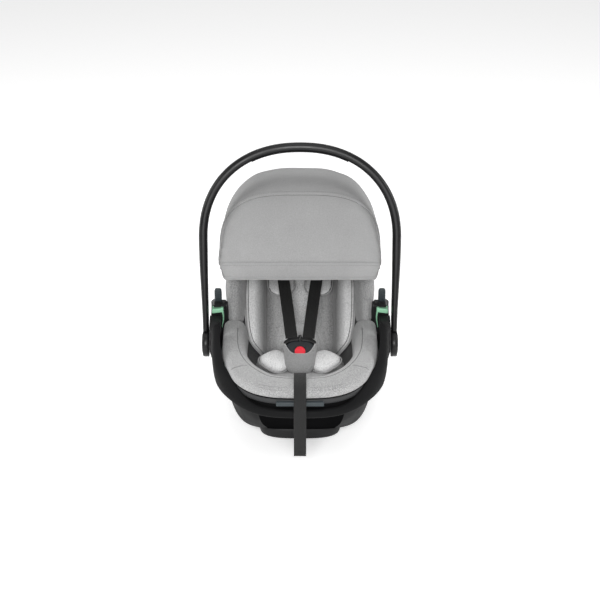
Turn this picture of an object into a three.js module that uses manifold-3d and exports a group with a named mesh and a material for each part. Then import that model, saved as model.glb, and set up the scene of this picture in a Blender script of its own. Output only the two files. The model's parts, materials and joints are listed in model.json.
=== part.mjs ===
// An infant car seat: a black shell on a flat base, a carrying handle that swings
// over the seat, a folding canopy, a padded cover, a newborn insert and a harness.
// Millimetres. X is across the seat, -Y is the foot end, +Y the head end, Z up.
// Left is the child's left, +X. The origin is on the floor below the middle.
import * as THREE from "three";
import { mergeVertices } from "three/addons/utils/BufferGeometryUtils.js";
import Module from "manifold-3d";

const wasm = await Module();
wasm.setup();

const { abs, sign, sin, cos, pow, min, max, sqrt, PI } = Math;
const rad = THREE.MathUtils.degToRad;
const v3 = (x, y, z) => new THREE.Vector3(x, y, z);

// ---------------------------------------------------------------- dimensions
const GAP = 0.5; // between pieces that touch

const RIM = { halfWidth: 163, headNarrower: 6, front: 318, rear: 300 };
const FOOTPRINT = { halfWidth: 122, front: 92, rear: 125 };
const RIM_Z = { foot: 200, hip: 197, headStep: 108, headSlope: 0.41 };
const FOOT_SQUARENESS = 3; // exponent of the plan's front half
const HEAD_SQUARENESS = 2.6;
const WALL = 4; // shell
const LINER = 14; // foam liner
const LINER_POLE = v3(0, 25, 92); // lowest point of the foam's inner face

const BACK = { y: 20, z: 121, angle: rad(46.6) }; // where the back meets the seat
const SEAT_ANGLE = rad(-14.5); // the seat rises towards the feet

const PIVOT = { y: -35, z: 184 }; // handle axis
const HANDLE = {
  reach: 424,
  halfWidth: 207,
  footHalfWidth: 205,
  straight: 229,
  squareness: 2.2,
  thick: 19,
  deep: 32,
  lean: rad(15),
};
const HUB = { radius: 29, inner: 196, outer: 214.5, cavity: 24, floor: 199 };
const HOUSING = { inner: 164, armInner: 171, outer: 194.5 };
const AXLE_RADIUS = 6;

const CANOPY = { y: 100, z: 310, squareness: 3.2 };
const MID_HOOP = { angle: rad(69.2), reach: 207, halfWidth: 170 };
const FRONT_HOOP = { angle: rad(24), reach: 222, halfWidth: 173 };
const REAR_SEAM_ANGLE = rad(149);
const HOOP_RADIUS = 2.2;
const CLOTH = 1.8; // thickness of a fabric sheet
const HEM_DROP = 32;

const BUCKLE = { y: -128, z: 160, lean: rad(48) }; // foot of the buckle's stalk
const WEBBING = { width: 25, thick: 1.6 };
const BAND = { proud: 16.5, half: 6 }; // the bumper band, out from the rim
const ROLL = { proud: 3.5, height: 24 }; // the padded rolls on the rim

// ---------------------------------------------------------------- materials
const paint = (color, roughness, metalness = 0) =>
  new THREE.MeshStandardMaterial({ color, roughness, metalness });
const shellBlack = paint(0x1b1c1e, 0.55);
const handleBlack = paint(0x202124, 0.45);
const gripBlack = paint(0x161719, 0.8);
const slate = paint(0x3e474c, 0.5);
const mint = paint(0x8fc9a0, 0.5);
const red = paint(0xd8343f, 0.4);
const steel = paint(0x9a9da0, 0.35, 1);
const foam = paint(0xe8e8e4, 0.9);
const greyWeave = paint(0x9b9b9b, 0.95);
const paleKnit = paint(0xc4c4c4, 0.95);
const canopyGrey = paint(0x9d9d9d, 0.9);
const webbingBlack = paint(0x1c1c1e, 0.85);

// ---------------------------------------------------------------- mesh tools
const smooth = (t) => {
  const s = min(1, max(0, t));
  return s * s * (3 - 2 * s);
};
const signedPower = (value, exponent) => sign(value) * pow(abs(value), exponent);
const steps = (count, last = 1) =>
  Array.from({ length: count }, (_, i) => (i / (count - 1)) * last);

function signedVolume(points, faces) {
  let six = 0;
  for (let i = 0; i < faces.length; i += 3) {
    const [a, b, c] = [faces[i], faces[i + 1], faces[i + 2]].map((k) => points[k]);
    six += a.dot(b.clone().cross(c));
  }
  return six / 6;
}

// A closed surface of points and faces as a geometry with its faces pointing out.
function closedGeometry(points, faces) {
  const turned = signedVolume(points, faces) < 0;
  const index = faces.slice();
  if (turned)
    for (let i = 0; i < index.length; i += 3)
      [index[i + 1], index[i + 2]] = [index[i + 2], index[i + 1]];
  const flat = new Float32Array(points.flatMap((p) => [p.x, p.y, p.z]));
  return new THREE.BufferGeometry()
    .setAttribute("position", new THREE.BufferAttribute(flat, 3))
    .setIndex(index);
}

// Skins closed rings of points, one after another, and closes both ends.
function loft(rings) {
  const count = rings[0].length;
  const points = rings.flat();
  const faces = [];
  for (let r = 0; r < rings.length - 1; r++)
    for (let i = 0; i < count; i++) {
      const a = r * count + i;
      const b = r * count + ((i + 1) % count);
      faces.push(a, b, b + count, a, b + count, a + count);
    }
  const close = (ring, start, turned) => {
    const middle = ring.reduce((sum, p) => sum.add(p), v3(0, 0, 0)).divideScalar(count);
    const hub = points.push(middle) - 1;
    for (let i = 0; i < count; i++) {
      const [a, b] = [start + i, start + ((i + 1) % count)];
      faces.push(...(turned ? [hub, b, a] : [hub, a, b]));
    }
  };
  close(rings[0], 0, true);
  close(rings.at(-1), (rings.length - 1) * count, false);
  return closedGeometry(points, faces);
}

// A flat or round section carried along a path. side(tangent) gives the section's
// first direction, and section(share) its outline there.
function sweep(path, side, section) {
  const rings = path.map((point, i) => {
    const tangent = path[min(i + 1, path.length - 1)]
      .clone()
      .sub(path[max(i - 1, 0)])
      .normalize();
    const across = side(tangent, i);
    across.addScaledVector(tangent, -across.dot(tangent)).normalize();
    const up = tangent.clone().cross(across);
    return section(i / (path.length - 1)).map(([a, b]) =>
      point.clone().addScaledVector(across, a).addScaledVector(up, b),
    );
  });
  return loft(rings);
}

// A sheet of even thickness over surface(u, v), both from 0 to 1.
function sheet(surface, columns, rows, thickness) {
  const at = (u, v) => {
    const e = 1e-3;
    const clamp = (t) => min(1, max(0, t));
    const du = surface(clamp(u + e), v).sub(surface(clamp(u - e), v));
    const dv = surface(u, clamp(v + e)).sub(surface(u, clamp(v - e)));
    const normal = du.cross(dv).normalize();
    return [surface(u, v), surface(u, v).addScaledVector(normal, thickness)];
  };
  const rings = steps(rows).map((v) => {
    const pairs = steps(columns).map((u) => at(u, v));
    return [...pairs.map((p) => p[0]), ...pairs.map((p) => p[1]).reverse()];
  });
  const count = 2 * columns;
  const points = rings.flat();
  const faces = [];
  for (let r = 0; r < rows - 1; r++)
    for (let i = 0; i < count; i++) {
      const a = r * count + i;
      const b = r * count + ((i + 1) % count);
      faces.push(a, b, b + count, a, b + count, a + count);
    }
  const close = (start, turned) => {
    for (let i = 0; i < columns - 1; i++) {
      const [a, b] = [start + i, start + i + 1];
      const [c, d] = [start + count - 2 - i, start + count - 1 - i];
      faces.push(...(turned ? [a, c, b, a, d, c] : [a, b, c, a, c, d]));
    }
  };
  close(0, true);
  close((rows - 1) * count, false);
  return closedGeometry(points, faces);
}

// Positions only, with shared corners merged.
function bare(geometry) {
  const g = geometry.clone();
  for (const name of Object.keys(g.attributes)) if (name !== "position") g.deleteAttribute(name);
  return mergeVertices(g, 1e-3);
}

function solid(geometry, matrix) {
  const g = bare(geometry);
  if (matrix) g.applyMatrix4(matrix);
  return new wasm.Manifold(
    new wasm.Mesh({
      numProp: 3,
      vertProperties: new Float32Array(g.attributes.position.array),
      triVerts: new Uint32Array(g.index.array),
    }),
  );
}

function geometryOf(manifold) {
  const mesh = manifold.getMesh();
  return new THREE.BufferGeometry()
    .setAttribute("position", new THREE.BufferAttribute(mesh.vertProperties.slice(), 3))
    .setIndex([...mesh.triVerts]);
}

const largest = (manifold) =>
  manifold.decompose().reduce((a, b) => (a.volume() > b.volume() ? a : b));

const move = (x, y, z) => new THREE.Matrix4().makeTranslation(x, y, z);

function boxAt(low, high) {
  const size = high.map((h, i) => h - low[i]);
  const centre = high.map((h, i) => (h + low[i]) / 2);
  return new THREE.BoxGeometry(...size).translate(...centre);
}

// A cylinder along X from x0 to x1 around a point of the side view.
const rodX = (radius, x0, x1, y, z, sides = 24) =>
  new THREE.CylinderGeometry(radius, radius, abs(x1 - x0), sides)
    .rotateZ(PI / 2)
    .translate((x0 + x1) / 2, y, z);

function outline(points) {
  const shape = new THREE.Shape();
  points.forEach(([a, b], i) => (i ? shape.lineTo(a, b) : shape.moveTo(a, b)));
  return shape;
}

// An outline drawn in (y, z), as a slab from x0 to x1.
function sideSlab(shape, x0, x1, bevel = 0) {
  const options = { depth: x1 - x0 - 2 * bevel, bevelEnabled: bevel > 0, curveSegments: 6 };
  Object.assign(options, { bevelSize: bevel, bevelThickness: bevel, bevelSegments: 2 });
  options.bevelOffset = -bevel;
  const turn = new THREE.Matrix4().makeBasis(v3(0, 1, 0), v3(0, 0, 1), v3(1, 0, 0));
  return new THREE.ExtrudeGeometry(shape, options)
    .applyMatrix4(turn)
    .translate(x0 + bevel, 0, 0);
}

// An outline drawn in (x, y), as a slab from z0 to z1 with rounded edges.
function flatSlab(shape, z0, z1, bevel) {
  const options = { depth: z1 - z0 - 2 * bevel, curveSegments: 2, bevelSegments: 2 };
  Object.assign(options, { bevelSize: bevel, bevelThickness: bevel, bevelOffset: -bevel });
  return new THREE.ExtrudeGeometry(shape, options).translate(0, 0, z0 + bevel);
}

function roundedRectangle(x0, y0, x1, y1, r) {
  const shape = new THREE.Shape();
  shape.moveTo(x0 + r, y0);
  shape.lineTo(x1 - r, y0).absarc(x1 - r, y0 + r, r, -PI / 2, 0);
  shape.lineTo(x1, y1 - r).absarc(x1 - r, y1 - r, r, 0, PI / 2);
  shape.lineTo(x0 + r, y1).absarc(x0 + r, y1 - r, r, PI / 2, PI);
  shape.lineTo(x0, y0 + r).absarc(x0 + r, y0 + r, r, PI, 1.5 * PI);
  return shape;
}

// ---------------------------------------------------------------- seat's form
const rimHeight = (y) =>
  RIM_Z.foot +
  (RIM_Z.hip - RIM_Z.foot) * smooth((y + RIM.front) / RIM.front) +
  RIM_Z.headStep * smooth(y / 95) +
  RIM_Z.headSlope * max(0, y - 80);

// The rim's plan, inset by some millimetres. Angle 0 is the foot end and 90 +X.
function rimPoint(angle, inset, rise = 0) {
  const [s, c] = [sin(angle), cos(angle)];
  const foot = c > 0;
  const power = 2 / (foot ? FOOT_SQUARENESS : HEAD_SQUARENESS);
  const y = -signedPower(c, power) * ((foot ? RIM.front : RIM.rear) - inset);
  const halfWidth = RIM.halfWidth - RIM.headNarrower * smooth((y + 20) / 90) - inset;
  return v3(halfWidth * signedPower(s, power), y, rimHeight(y) + rise);
}

const shares = (angle) => {
  const c = cos(angle);
  return { foot: c > 0 ? c * c : 0, side: 1 - c * c, head: c < 0 ? c * c : 0 };
};
const mix = (angle, foot, side, head) => {
  const w = shares(angle);
  return foot * w.foot + side * w.side + head * w.head;
};

// The shell's wall from the rim (share 0) to the floor (share 1), as a cubic curve.
function shellPoint(angle, share, inset, lift) {
  const rim = rimPoint(angle, inset);
  const foot = cos(angle) > 0;
  const power = 2 / (foot ? FOOT_SQUARENESS : HEAD_SQUARENESS);
  const ends = foot ? FOOTPRINT.front : FOOTPRINT.rear;
  const base = v3(
    (FOOTPRINT.halfWidth - inset) * signedPower(sin(angle), power),
    -(ends - inset) * signedPower(cos(angle), power),
    lift,
  );
  const control = (out, up) =>
    v3(
      base.x + (rim.x - base.x) * out,
      base.y + (rim.y - base.y) * out,
      base.z + (rim.z - base.z) * up,
    );
  const upper = control(mix(angle, 1.05, 0.96, 0.86), mix(angle, 0.66, 0.62, 0.62));
  const lower = control(mix(angle, 0.43, 0.6, 0.45), mix(angle, 0.33, 0.18, 0.2));
  return new THREE.CubicBezierCurve3(rim, upper, lower, base).getPoint(share);
}

// The foam's bowl from its rim (share 0) to its lowest point (share 1).
function bowlPoint(angle, share, inset, drop) {
  const rim = rimPoint(angle, WALL + 1 + inset);
  const squareness = mix(angle, 1.15, 2.6, 1.06);
  const turn = (share * PI) / 2;
  const out = pow(cos(turn), 2 / squareness);
  const up = 1 - pow(sin(turn), 2 / squareness);
  const pole = LINER_POLE.clone().setZ(LINER_POLE.z - drop);
  return v3(rim.x * out, pole.y + (rim.y - pole.y) * out, pole.z + (rim.z - pole.z) * up);
}

const AROUND = 36; // facets round the shell and its liner
const turnRing = (count, point) =>
  Array.from({ length: count }, (_, i) => point((i / count) * 2 * PI));

function outerShell() {
  const down = [0, 0.12, 0.27, 0.44, 0.6, 0.75, 0.88, 1];
  const outside = down.map((s) => turnRing(AROUND, (a) => shellPoint(a, s, 0, 0)));
  const inside = down.map((s) => turnRing(AROUND, (a) => shellPoint(a, s, WALL, WALL)));
  return loft([...outside.reverse(), ...inside]);
}

// The shell as one full solid, grown, to cut what stands against it.
function shellBlock(grow) {
  const down = [0, 0.12, 0.27, 0.44, 0.6, 0.75, 0.88, 1];
  return solid(
    loft(down.map((s) => turnRing(AROUND, (a) => shellPoint(a, s, -grow, -grow)))),
  );
}

const BOWL_STEPS = [0, 0.1, 0.22, 0.36, 0.5, 0.65, 0.8, 0.92];

function foamLiner() {
  const ring = (s, inset, drop) => turnRing(AROUND, (a) => bowlPoint(a, s, inset, drop));
  const outside = BOWL_STEPS.map((s) => ring(s, 0, LINER));
  const inside = BOWL_STEPS.map((s) => ring(s, LINER, 0));
  return loft([...outside.reverse(), ...inside]);
}

// The space inside the liner, open upwards, that soft pieces are fitted to.
function cavity(clear) {
  const half = (way) => {
    const ring = (point) => turnRing(AROUND, (a) => point(way * a));
    const rings = BOWL_STEPS.map((s) => ring((a) => bowlPoint(a, s, LINER + clear, -clear)));
    const lid = ring((a) => rimPoint(a, WALL + 1 + LINER + clear).setZ(700));
    return solid(loft([lid, ...rings]));
  };
  return half(1).intersect(half(-1)); // the facets of either hand
}

const backFrame = new THREE.Matrix4()
  .makeRotationX(BACK.angle)
  .setPosition(0, BACK.y, BACK.z);
const seatFrame = new THREE.Matrix4()
  .makeRotationX(SEAT_ANGLE)
  .setPosition(0, BACK.y, BACK.z);
const inFrame = (frame, x, y, z) => v3(x, y, z).applyMatrix4(frame);

// ---------------------------------------------------------------- the assembly
// The form above is laid out from the seat's own datum; the whole assembly is then
// moved so that the origin lies below the middle of its length.
const infantCarSeat = new THREE.Group();
infantCarSeat.name = "infant_car_seat";
const assembly = new THREE.Group();
assembly.position.y = (RIM.front + BAND.proud - RIM.rear - ROLL.proud) / 2;
infantCarSeat.add(assembly);

function add(name, geometry, material) {
  const mesh = new THREE.Mesh(geometry, material);
  mesh.name = name;
  assembly.add(mesh);
  return mesh;
}

function addPair(name, geometry, material) {
  add(`${name}_left`, geometry, material);
  add(`${name}_right`, geometry, material).scale.x = -1;
}

// ---------------------------------------------------------------- shell
function underBarSlots(shell) {
  let cut = shell;
  for (const y of BAR_Y)
    cut = cut.subtract(solid(boxAt([-34, y - 15, -5], [34, y + 15, WALL + 2])));
  return cut;
}

const BAR_Y = [-38, 78]; // the two bars that an isofix base grips
const BAR_RADIUS = 4;

add("outer_shell", geometryOf(underBarSlots(solid(outerShell()))), shellBlack);
add("foam_liner", foamLiner(), foam);
["front", "rear"].forEach((name, i) =>
  add(`base_bar_${name}`, rodX(BAR_RADIUS, -48, 48, BAR_Y[i], 11, 12), steel),
);

function baseFoot() {
  const plan = turnRing(32, (a) => {
    const power = 2 / 3;
    return [88 * signedPower(sin(a), power), -72 - 59 * signedPower(cos(a), power)];
  });
  const block = solid(flatSlab(outline(plan), 0, 46, 5));
  const behind = solid(boxAt([-200, -88, -10], [200, 100, 100]));
  return geometryOf(largest(block.subtract(behind).subtract(shellBlock(3 * GAP))));
}
add("base_foot", baseFoot(), shellBlack);

// The band that runs round the foot end below the cover, from hub to hub.
function bumperBand() {
  const reach = 1.36; // half of its turn in radians, to just before the housings
  const path = steps(33, 2 * reach).map((t) => {
    const point = rimPoint(t - reach, BAND.half - BAND.proud - 3 * smooth((abs(t - reach) - 0.4) / 0.9));
    return point.setZ(171 + 0.09 * (point.y + 335));
  });
  const inward = (tangent) => v3(-tangent.y, tangent.x, 0);
  const section = (share) => {
    const wide = BAND.half + 3 * smooth((abs(share - 0.5) * 2 * reach - 0.4) / 0.9);
    return [
      [-wide, -4], [-wide + 3, -9], [wide, -9], [wide + 30, 0], [wide + 30, 5], [wide, 5],
      [wide, 9], [-wide + 5, 9], [-wide + 1, 6],
    ];
  };
  return geometryOf(largest(solid(sweep(path, inward, section)).subtract(shellBlock(GAP))));
}
add("bumper_band", bumperBand(), shellBlack);

// ---------------------------------------------------------------- hub housings
const LEVER = { x0: 169.5, x1: 185.5, y0: 14, y1: 22, foot: 228, top: 290 };
const LATCH = { x0: 175, x1: 183, y0: -24, y1: 6, z0: 122, z1: 132 };

function hubHousing() {
  const side = outline([
    [-57, 226], [-34, 236], [-10, 239], [-8, 236], [-8, 207], [-3, 202], [4, 203],
    [7, 208], [7, 258], [-12, 258.5], [-14, 261], [-8, 265], [6, 267], [38, 259],
    [46, 248], [48, 180], [38, 132], [22, 112], [-62, 112], [-74, 135], [-74, 194],
    [-60, 206],
  ]);
  const armCut = solid(boxAt([100, -90, 190], [HOUSING.armInner, -2, 258.1]));
  const lowerCut = solid(
    boxAt([0, -150, -60], [60, 150, 0]),
    new THREE.Matrix4().makeRotationY(rad(-19)).setPosition(HOUSING.outer + 1, 0, 176),
  );
  const leverPocket = solid(
    boxAt([LEVER.x0 - 0.6, LEVER.y0 - 0.6, LEVER.foot - 2], [LEVER.x1 + 0.6, LEVER.y1 + 0.6, 300]),
  );
  const adapterSocket = solid(boxAt([170, -58, 100], [184, -14, 152]));
  const latchPocket = solid(boxAt([LATCH.x0 - 0.5, -20, LATCH.z0 - 0.5], [LATCH.x1 + 0.5, 17, LATCH.z1 + 0.5]));
  const bore = solid(rodX(AXLE_RADIUS + 0.3, 150, 210, PIVOT.y, PIVOT.z));
  return geometryOf(
    largest(
      solid(sideSlab(side, HOUSING.inner, HOUSING.outer))
        .subtract(armCut)
        .subtract(lowerCut)
        .subtract(leverPocket)
        .subtract(adapterSocket)
        .subtract(latchPocket)
        .subtract(bore)
        .subtract(shellBlock(GAP)),
    ),
  );
}
addPair("hub_housing", hubHousing(), shellBlack);

function beltGuide() {
  const bar = solid(boxAt([166.4, -14, 247.4], [190, 6.4, 257.7]));
  const leg = solid(
    loft([
      boxRing(166.4, 170.6, -14, -4, 252),
      boxRing(166.4, 170.6, -14, -5, 234),
      boxRing(168.2, 170.6, -13, -8, 205),
    ]),
  );
  return geometryOf(bar.add(leg));
}
function boxRing(x0, x1, y0, y1, z) {
  return [v3(x0, y0, z), v3(x1, y0, z), v3(x1, y1, z), v3(x0, y1, z)];
}
addPair("belt_guide", beltGuide(), mint);

addPair(
  "release_lever",
  flatSlab(
    roundedRectangle(LEVER.x0, LEVER.y0, LEVER.x1, LEVER.y1, 3),
    LEVER.foot,
    LEVER.top,
    2.5,
  ),
  slate,
);
addPair(
  "travel_latch",
  sideSlab(
    outline([
      [LATCH.y0, LATCH.z0 + 5], [LATCH.y0, LATCH.z1], [LATCH.y1, LATCH.z1],
      [LATCH.y1, LATCH.z0], [LATCH.y0 + 5, LATCH.z0],
    ]),
    LATCH.x0,
    LATCH.x1,
  ),
  steel,
);
addPair("handle_axle", rodX(AXLE_RADIUS, 172, 200, PIVOT.y, PIVOT.z), steel);

// ---------------------------------------------------------------- handle
const handleFrame = new THREE.Matrix4()
  .makeRotationX(-HANDLE.lean)
  .setPosition(0, PIVOT.y, PIVOT.z);

// The arch's centre line in its own upright plane, u from 0 (one hub) to 1.
function archPath(count, from = 0, to = 1) {
  const arc = (t) => {
    const turn = t * PI;
    const power = 2 / HANDLE.squareness;
    const rise = HANDLE.reach - HANDLE.straight;
    return v3(
      HANDLE.halfWidth * signedPower(cos(turn), power),
      0,
      HANDLE.straight + rise * pow(max(0, sin(turn)), power),
    );
  };
  const leg = steps(5).map((t) => {
    const z = t * HANDLE.straight;
    return v3(HANDLE.footHalfWidth + (HANDLE.halfWidth - HANDLE.footHalfWidth) * smooth(t), 0, z);
  });
  const mirrored = leg.map((p) => v3(-p.x, 0, p.z)).reverse();
  const round = steps(21).slice(1, -1).map(arc);
  const curve = new THREE.CatmullRomCurve3([...leg, ...round, ...mirrored]);
  return steps(count).map((t) => curve.getPointAt(from + (to - from) * t));
}

function handleBar() {
  const [a, b] = [HANDLE.thick / 2, HANDLE.deep / 2];
  const section = turnRing(12, (t) => [
    a * signedPower(cos(t), 0.7),
    b * signedPower(sin(t), 0.7),
  ]);
  const outwards = (tangent) => v3(tangent.z, 0, -tangent.x);
  const bar = solid(sweep(archPath(45), outwards, () => section));
  const hub = (x) => solid(rodX(HUB.radius, x * HUB.inner, x * HUB.outer, 0, 0, 32));
  const hollow = (x) => solid(rodX(HUB.cavity, x * HUB.floor, x * 230, 0, 0, 32));
  const bore = solid(rodX(AXLE_RADIUS + 0.3, -230, 230, 0, 0));
  const inside = solid(rodX(40, -HUB.inner, HUB.inner, 0, 0, 16));
  return bar
    .subtract(inside)
    .add(hub(1))
    .add(hub(-1))
    .subtract(hollow(1))
    .subtract(hollow(-1))
    .subtract(bore);
}
const handle = new THREE.Group();
handle.applyMatrix4(handleFrame);
assembly.add(handle);

function addToHandle(name, geometry, material, mirrored = false) {
  const mesh = new THREE.Mesh(geometry, material);
  mesh.name = name;
  if (mirrored) mesh.scale.x = -1;
  handle.add(mesh);
}
addToHandle("handle_frame", geometryOf(handleBar()), handleBlack);

// A soft grip on the underside of the arch's top.
function handleGrip() {
  const low = -HANDLE.thick / 2 - 1.6;
  const section = [[low, -9], [low, 9], [low + 1.2, 12], [low + 1.2, -12]];
  const outwards = (tangent) => v3(tangent.z, 0, -tangent.x);
  return sweep(archPath(15, 0.4, 0.6), outwards, () => section);
}
addToHandle("handle_grip", handleGrip(), gripBlack);

const BUTTON = { radius: 22.5, inner: 208.4, outer: 217 };
const GEAR = { x0: 204.5, x1: 208, teeth: 12, root: 18, tip: 21.5, bore: 8 };

function lockGear() {
  const rim = [];
  for (let i = 0; i < GEAR.teeth; i++)
    for (const [share, r] of [[0, GEAR.root], [0.3, GEAR.root], [0.45, GEAR.tip], [0.85, GEAR.tip]]) {
      const t = ((i + share) / GEAR.teeth) * 2 * PI;
      rim.push([r * cos(t), r * sin(t)]);
    }
  const shape = outline(rim);
  shape.holes.push(new THREE.Path().absarc(0, 0, GEAR.bore, 0, 2 * PI));
  return sideSlab(shape, GEAR.x0, GEAR.x1);
}

function lockSpring() {
  const turns = 2;
  const path = steps(turns * 12 + 1).map((t) => {
    const turn = t * turns * 2 * PI;
    return v3(200 + 3.7 * t, 13 * cos(turn), 13 * sin(turn));
  });
  const wire = turnRing(5, (t) => [0.5 * cos(t), 0.5 * sin(t)]);
  return sweep(path, () => v3(1, 0, 0), () => wire);
}

function lockButton() {
  const r = BUTTON.radius;
  const profile = [
    [0, BUTTON.inner], [r, BUTTON.inner], [r, BUTTON.outer - 3],
    [r - 2.5, BUTTON.outer - 0.8], [r * 0.6, BUTTON.outer], [0, BUTTON.outer],
  ].map(([a, b]) => new THREE.Vector2(a, b));
  return new THREE.LatheGeometry(profile, 28).rotateZ(-PI / 2);
}
for (const [geometry, name, material] of [
  [lockButton(), "handle_button", slate],
  [lockGear(), "lock_gear", steel],
  [lockSpring(), "lock_spring", steel],
]) {
  addToHandle(`${name}_left`, geometry, material);
  addToHandle(`${name}_right`, geometry, material, true);
}

// ---------------------------------------------------------------- canopy
// A hoop's point: turn 0 and PI are its feet, PI / 2 its top.
function hoopPoint(hoop, turn, grow = 0) {
  const power = 2 / CANOPY.squareness;
  const r = (hoop.reach + grow) * pow(max(0, sin(turn)), power);
  return v3(
    (hoop.halfWidth + grow) * signedPower(cos(turn), power),
    CANOPY.y - r * cos(hoop.angle),
    CANOPY.z + r * sin(hoop.angle),
  );
}

function hoopWire(hoop) {
  const ends = 0.012; // stops the wire short of the pivot
  const path = steps(29).map((t) => hoopPoint(hoop, PI * (ends + (1 - 2 * ends) * t)));
  const wire = turnRing(6, (t) => [HOOP_RADIUS * cos(t), HOOP_RADIUS * sin(t)]);
  const away = v3(0, sin(hoop.angle), cos(hoop.angle));
  return sweep(path, () => away.clone(), () => wire);
}

const between = (a, b, t) => ({
  angle: a.angle + (b.angle - a.angle) * t,
  reach: a.reach + (b.reach - a.reach) * t,
  halfWidth: a.halfWidth + (b.halfWidth - a.halfWidth) * t,
});

const REAR_SEAM = { angle: REAR_SEAM_ANGLE, reach: 213, halfWidth: 161 };
const SEAM_GAP = rad(0.7);
const PANEL_ENDS = 0.016; // share of the turn left clear at each pivot

function canopyPanel(from, to) {
  const span = to.angle - from.angle;
  const trim = SEAM_GAP / abs(span);
  const surface = (u, v) => {
    const t = trim + (1 - 2 * trim) * v;
    const turn = PI * (PANEL_ENDS + (1 - 2 * PANEL_ENDS) * u);
    return hoopPoint(between(from, to, t), turn, HOOP_RADIUS + 0.6 - 3 * sin(PI * t) * 0.4);
  };
  return sheet(surface, 21, 7, CLOTH);
}

function canopyHem() {
  const surface = (u, v) => {
    const turn = PI * (PANEL_ENDS + (1 - 2 * PANEL_ENDS) * u);
    const top = hoopPoint(FRONT_HOOP, turn, HOOP_RADIUS + 1.2);
    top.z -= 1 + HEM_DROP * v;
    top.y += 2 * v * sin(turn);
    return top;
  };
  return sheet(surface, 21, 3, CLOTH);
}
add("canopy_mid_hoop", hoopWire(MID_HOOP), steel);
add("canopy_front_hoop", hoopWire(FRONT_HOOP), steel);
add("canopy_front_panel", canopyPanel(MID_HOOP, FRONT_HOOP), canopyGrey);
add("canopy_rear_panel", canopyPanel(REAR_SEAM, MID_HOOP), canopyGrey);
add("canopy_hem", canopyHem(), canopyGrey);
addPair("canopy_pivot", rodX(11, 161.6, 174.2, CANOPY.y, CANOPY.z, 20), shellBlack);

// ---------------------------------------------------------------- covers
// A padded roll on the rim, between two angles of the plan.
function coverRoll(from, to, count, section) {
  const path = steps(count).map((t) => {
    const point = rimPoint(from + (to - from) * t, 0);
    point.z += STEEP_CLEARANCE * smooth((point.y + 5) / 30) * smooth((130 - point.y) / 50);
    return point;
  });
  const inward = (tangent) => v3(-tangent.y, tangent.x, 0);
  return sweep(path, inward, section);
}
const STEEP_CLEARANCE = 13; // lifts the roll where the rim climbs steeply

function rollSection(width, o = 0.5 - ROLL.proud) {
  const h = ROLL.height;
  return [
    [o, GAP], [o - 0.5, h * 0.55], [o + 8, h * 0.95], [width * 0.4, h],
    [width * 0.75, h * 0.9], [width, h * 0.55], [width + 2, h * 0.2], [width - 5, GAP],
  ];
}

const SIDE_ROLL = 44;
const FOOT_ROLL = 64;
const HEAD_ROLL = { side: 36, end: 26 };
const COVER_SPLIT = 1.5708; // where the two covers meet beside the hubs, in radians

function seatCover() {
  return coverRoll(-COVER_SPLIT, COVER_SPLIT, 41, (share) => {
    const away = abs(share - 0.5) * 2;
    const width = SIDE_ROLL + (FOOT_ROLL - SIDE_ROLL) * (1 - smooth(away * 1.6));
    return rollSection(width, 0.5 - ROLL.proud + 5 * smooth((away - 0.82) / 0.1));
  });
}
function headCover() {
  const start = COVER_SPLIT + 0.043;
  return coverRoll(start, 2 * PI - start, 41, (share) => {
    const away = abs(share - 0.5) * 2;
    const width = HEAD_ROLL.end + (HEAD_ROLL.side - HEAD_ROLL.end) * smooth(away);
    return rollSection(width, 0.5 - ROLL.proud + 5 * smooth((away - 0.8) / 0.1));
  });
}
add("seat_cover", seatCover(), greyWeave);
add("head_cover", headCover(), greyWeave);

// ---------------------------------------------------------------- insert
const bowl = cavity(GAP);
const backSlab = (grow) =>
  solid(flatSlab(roundedRectangle(-112 - grow, -20 - grow, 112 + grow, 318 + grow, 30), -60 - grow, grow, 3), backFrame);
const seatSlab = (grow) =>
  solid(flatSlab(roundedRectangle(-112 - grow, -262, 112 + grow, 30, 80), -70, grow, 3), seatFrame);

const hipBelow = solid(boxAt([-200, -300, -100], [200, 8, 600])); // ahead of the bight
const backPad = largest(backSlab(0).subtract(hipBelow).intersect(bowl));
const seatPad = largest(
  seatSlab(0).subtract(solid(boxAt([-200, 7.4, -100], [200, 300, 600]))).intersect(bowl),
);
add("back_pad", geometryOf(backPad), greyWeave);
add("seat_pad", geometryOf(seatPad), greyWeave);

const aboveSeat = (manifold) => manifold.subtract(backSlab(GAP)).subtract(seatSlab(GAP));

function bolster() {
  const side = outline(
    turnRing(28, (t) => [88 + 116 * signedPower(cos(t), 0.75), 27 + 33 * signedPower(sin(t), 0.8)]),
  );
  const slab = solid(sideSlab(side, 84, 121, 9), backFrame);
  return geometryOf(largest(aboveSeat(slab).intersect(bowl)));
}
addPair("bolster", bolster(), paleKnit);

function hipPad() {
  const pad = solid(
    new THREE.SphereGeometry(1, 20, 12).scale(26, 40, 14),
    new THREE.Matrix4().makeRotationX(rad(14)).setPosition(64, -96, 176),
  );
  return geometryOf(largest(aboveSeat(pad).intersect(bowl)));
}
addPair("hip_pad", hipPad(), paleKnit);

function lumbarPad() {
  const slab = flatSlab(roundedRectangle(-38, 8, 38, 92, 18), GAP, 13, 4);
  return slab.applyMatrix4(backFrame);
}
add("lumbar_pad", lumbarPad(), paleKnit);

// ---------------------------------------------------------------- headrest
const HEADREST = { from: 238, to: 322, halfWidth: 80, wing: 46, thick: 22 };

function headrestSection(halfWidth, back, thick, wing) {
  const curve = (w, b, f) => [[w, f], [w * 0.97, b + 10], [w * 0.8, b + 2], [w * 0.4, b]];
  const outside = curve(halfWidth, back, wing);
  const inside = curve(halfWidth - thick * 0.9, back + thick, wing);
  const mirror = (list) => list.map(([a, b]) => [-a, b]).reverse();
  return [...outside, ...mirror(outside), ...mirror(inside).reverse(), ...inside.slice().reverse()];
}

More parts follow.
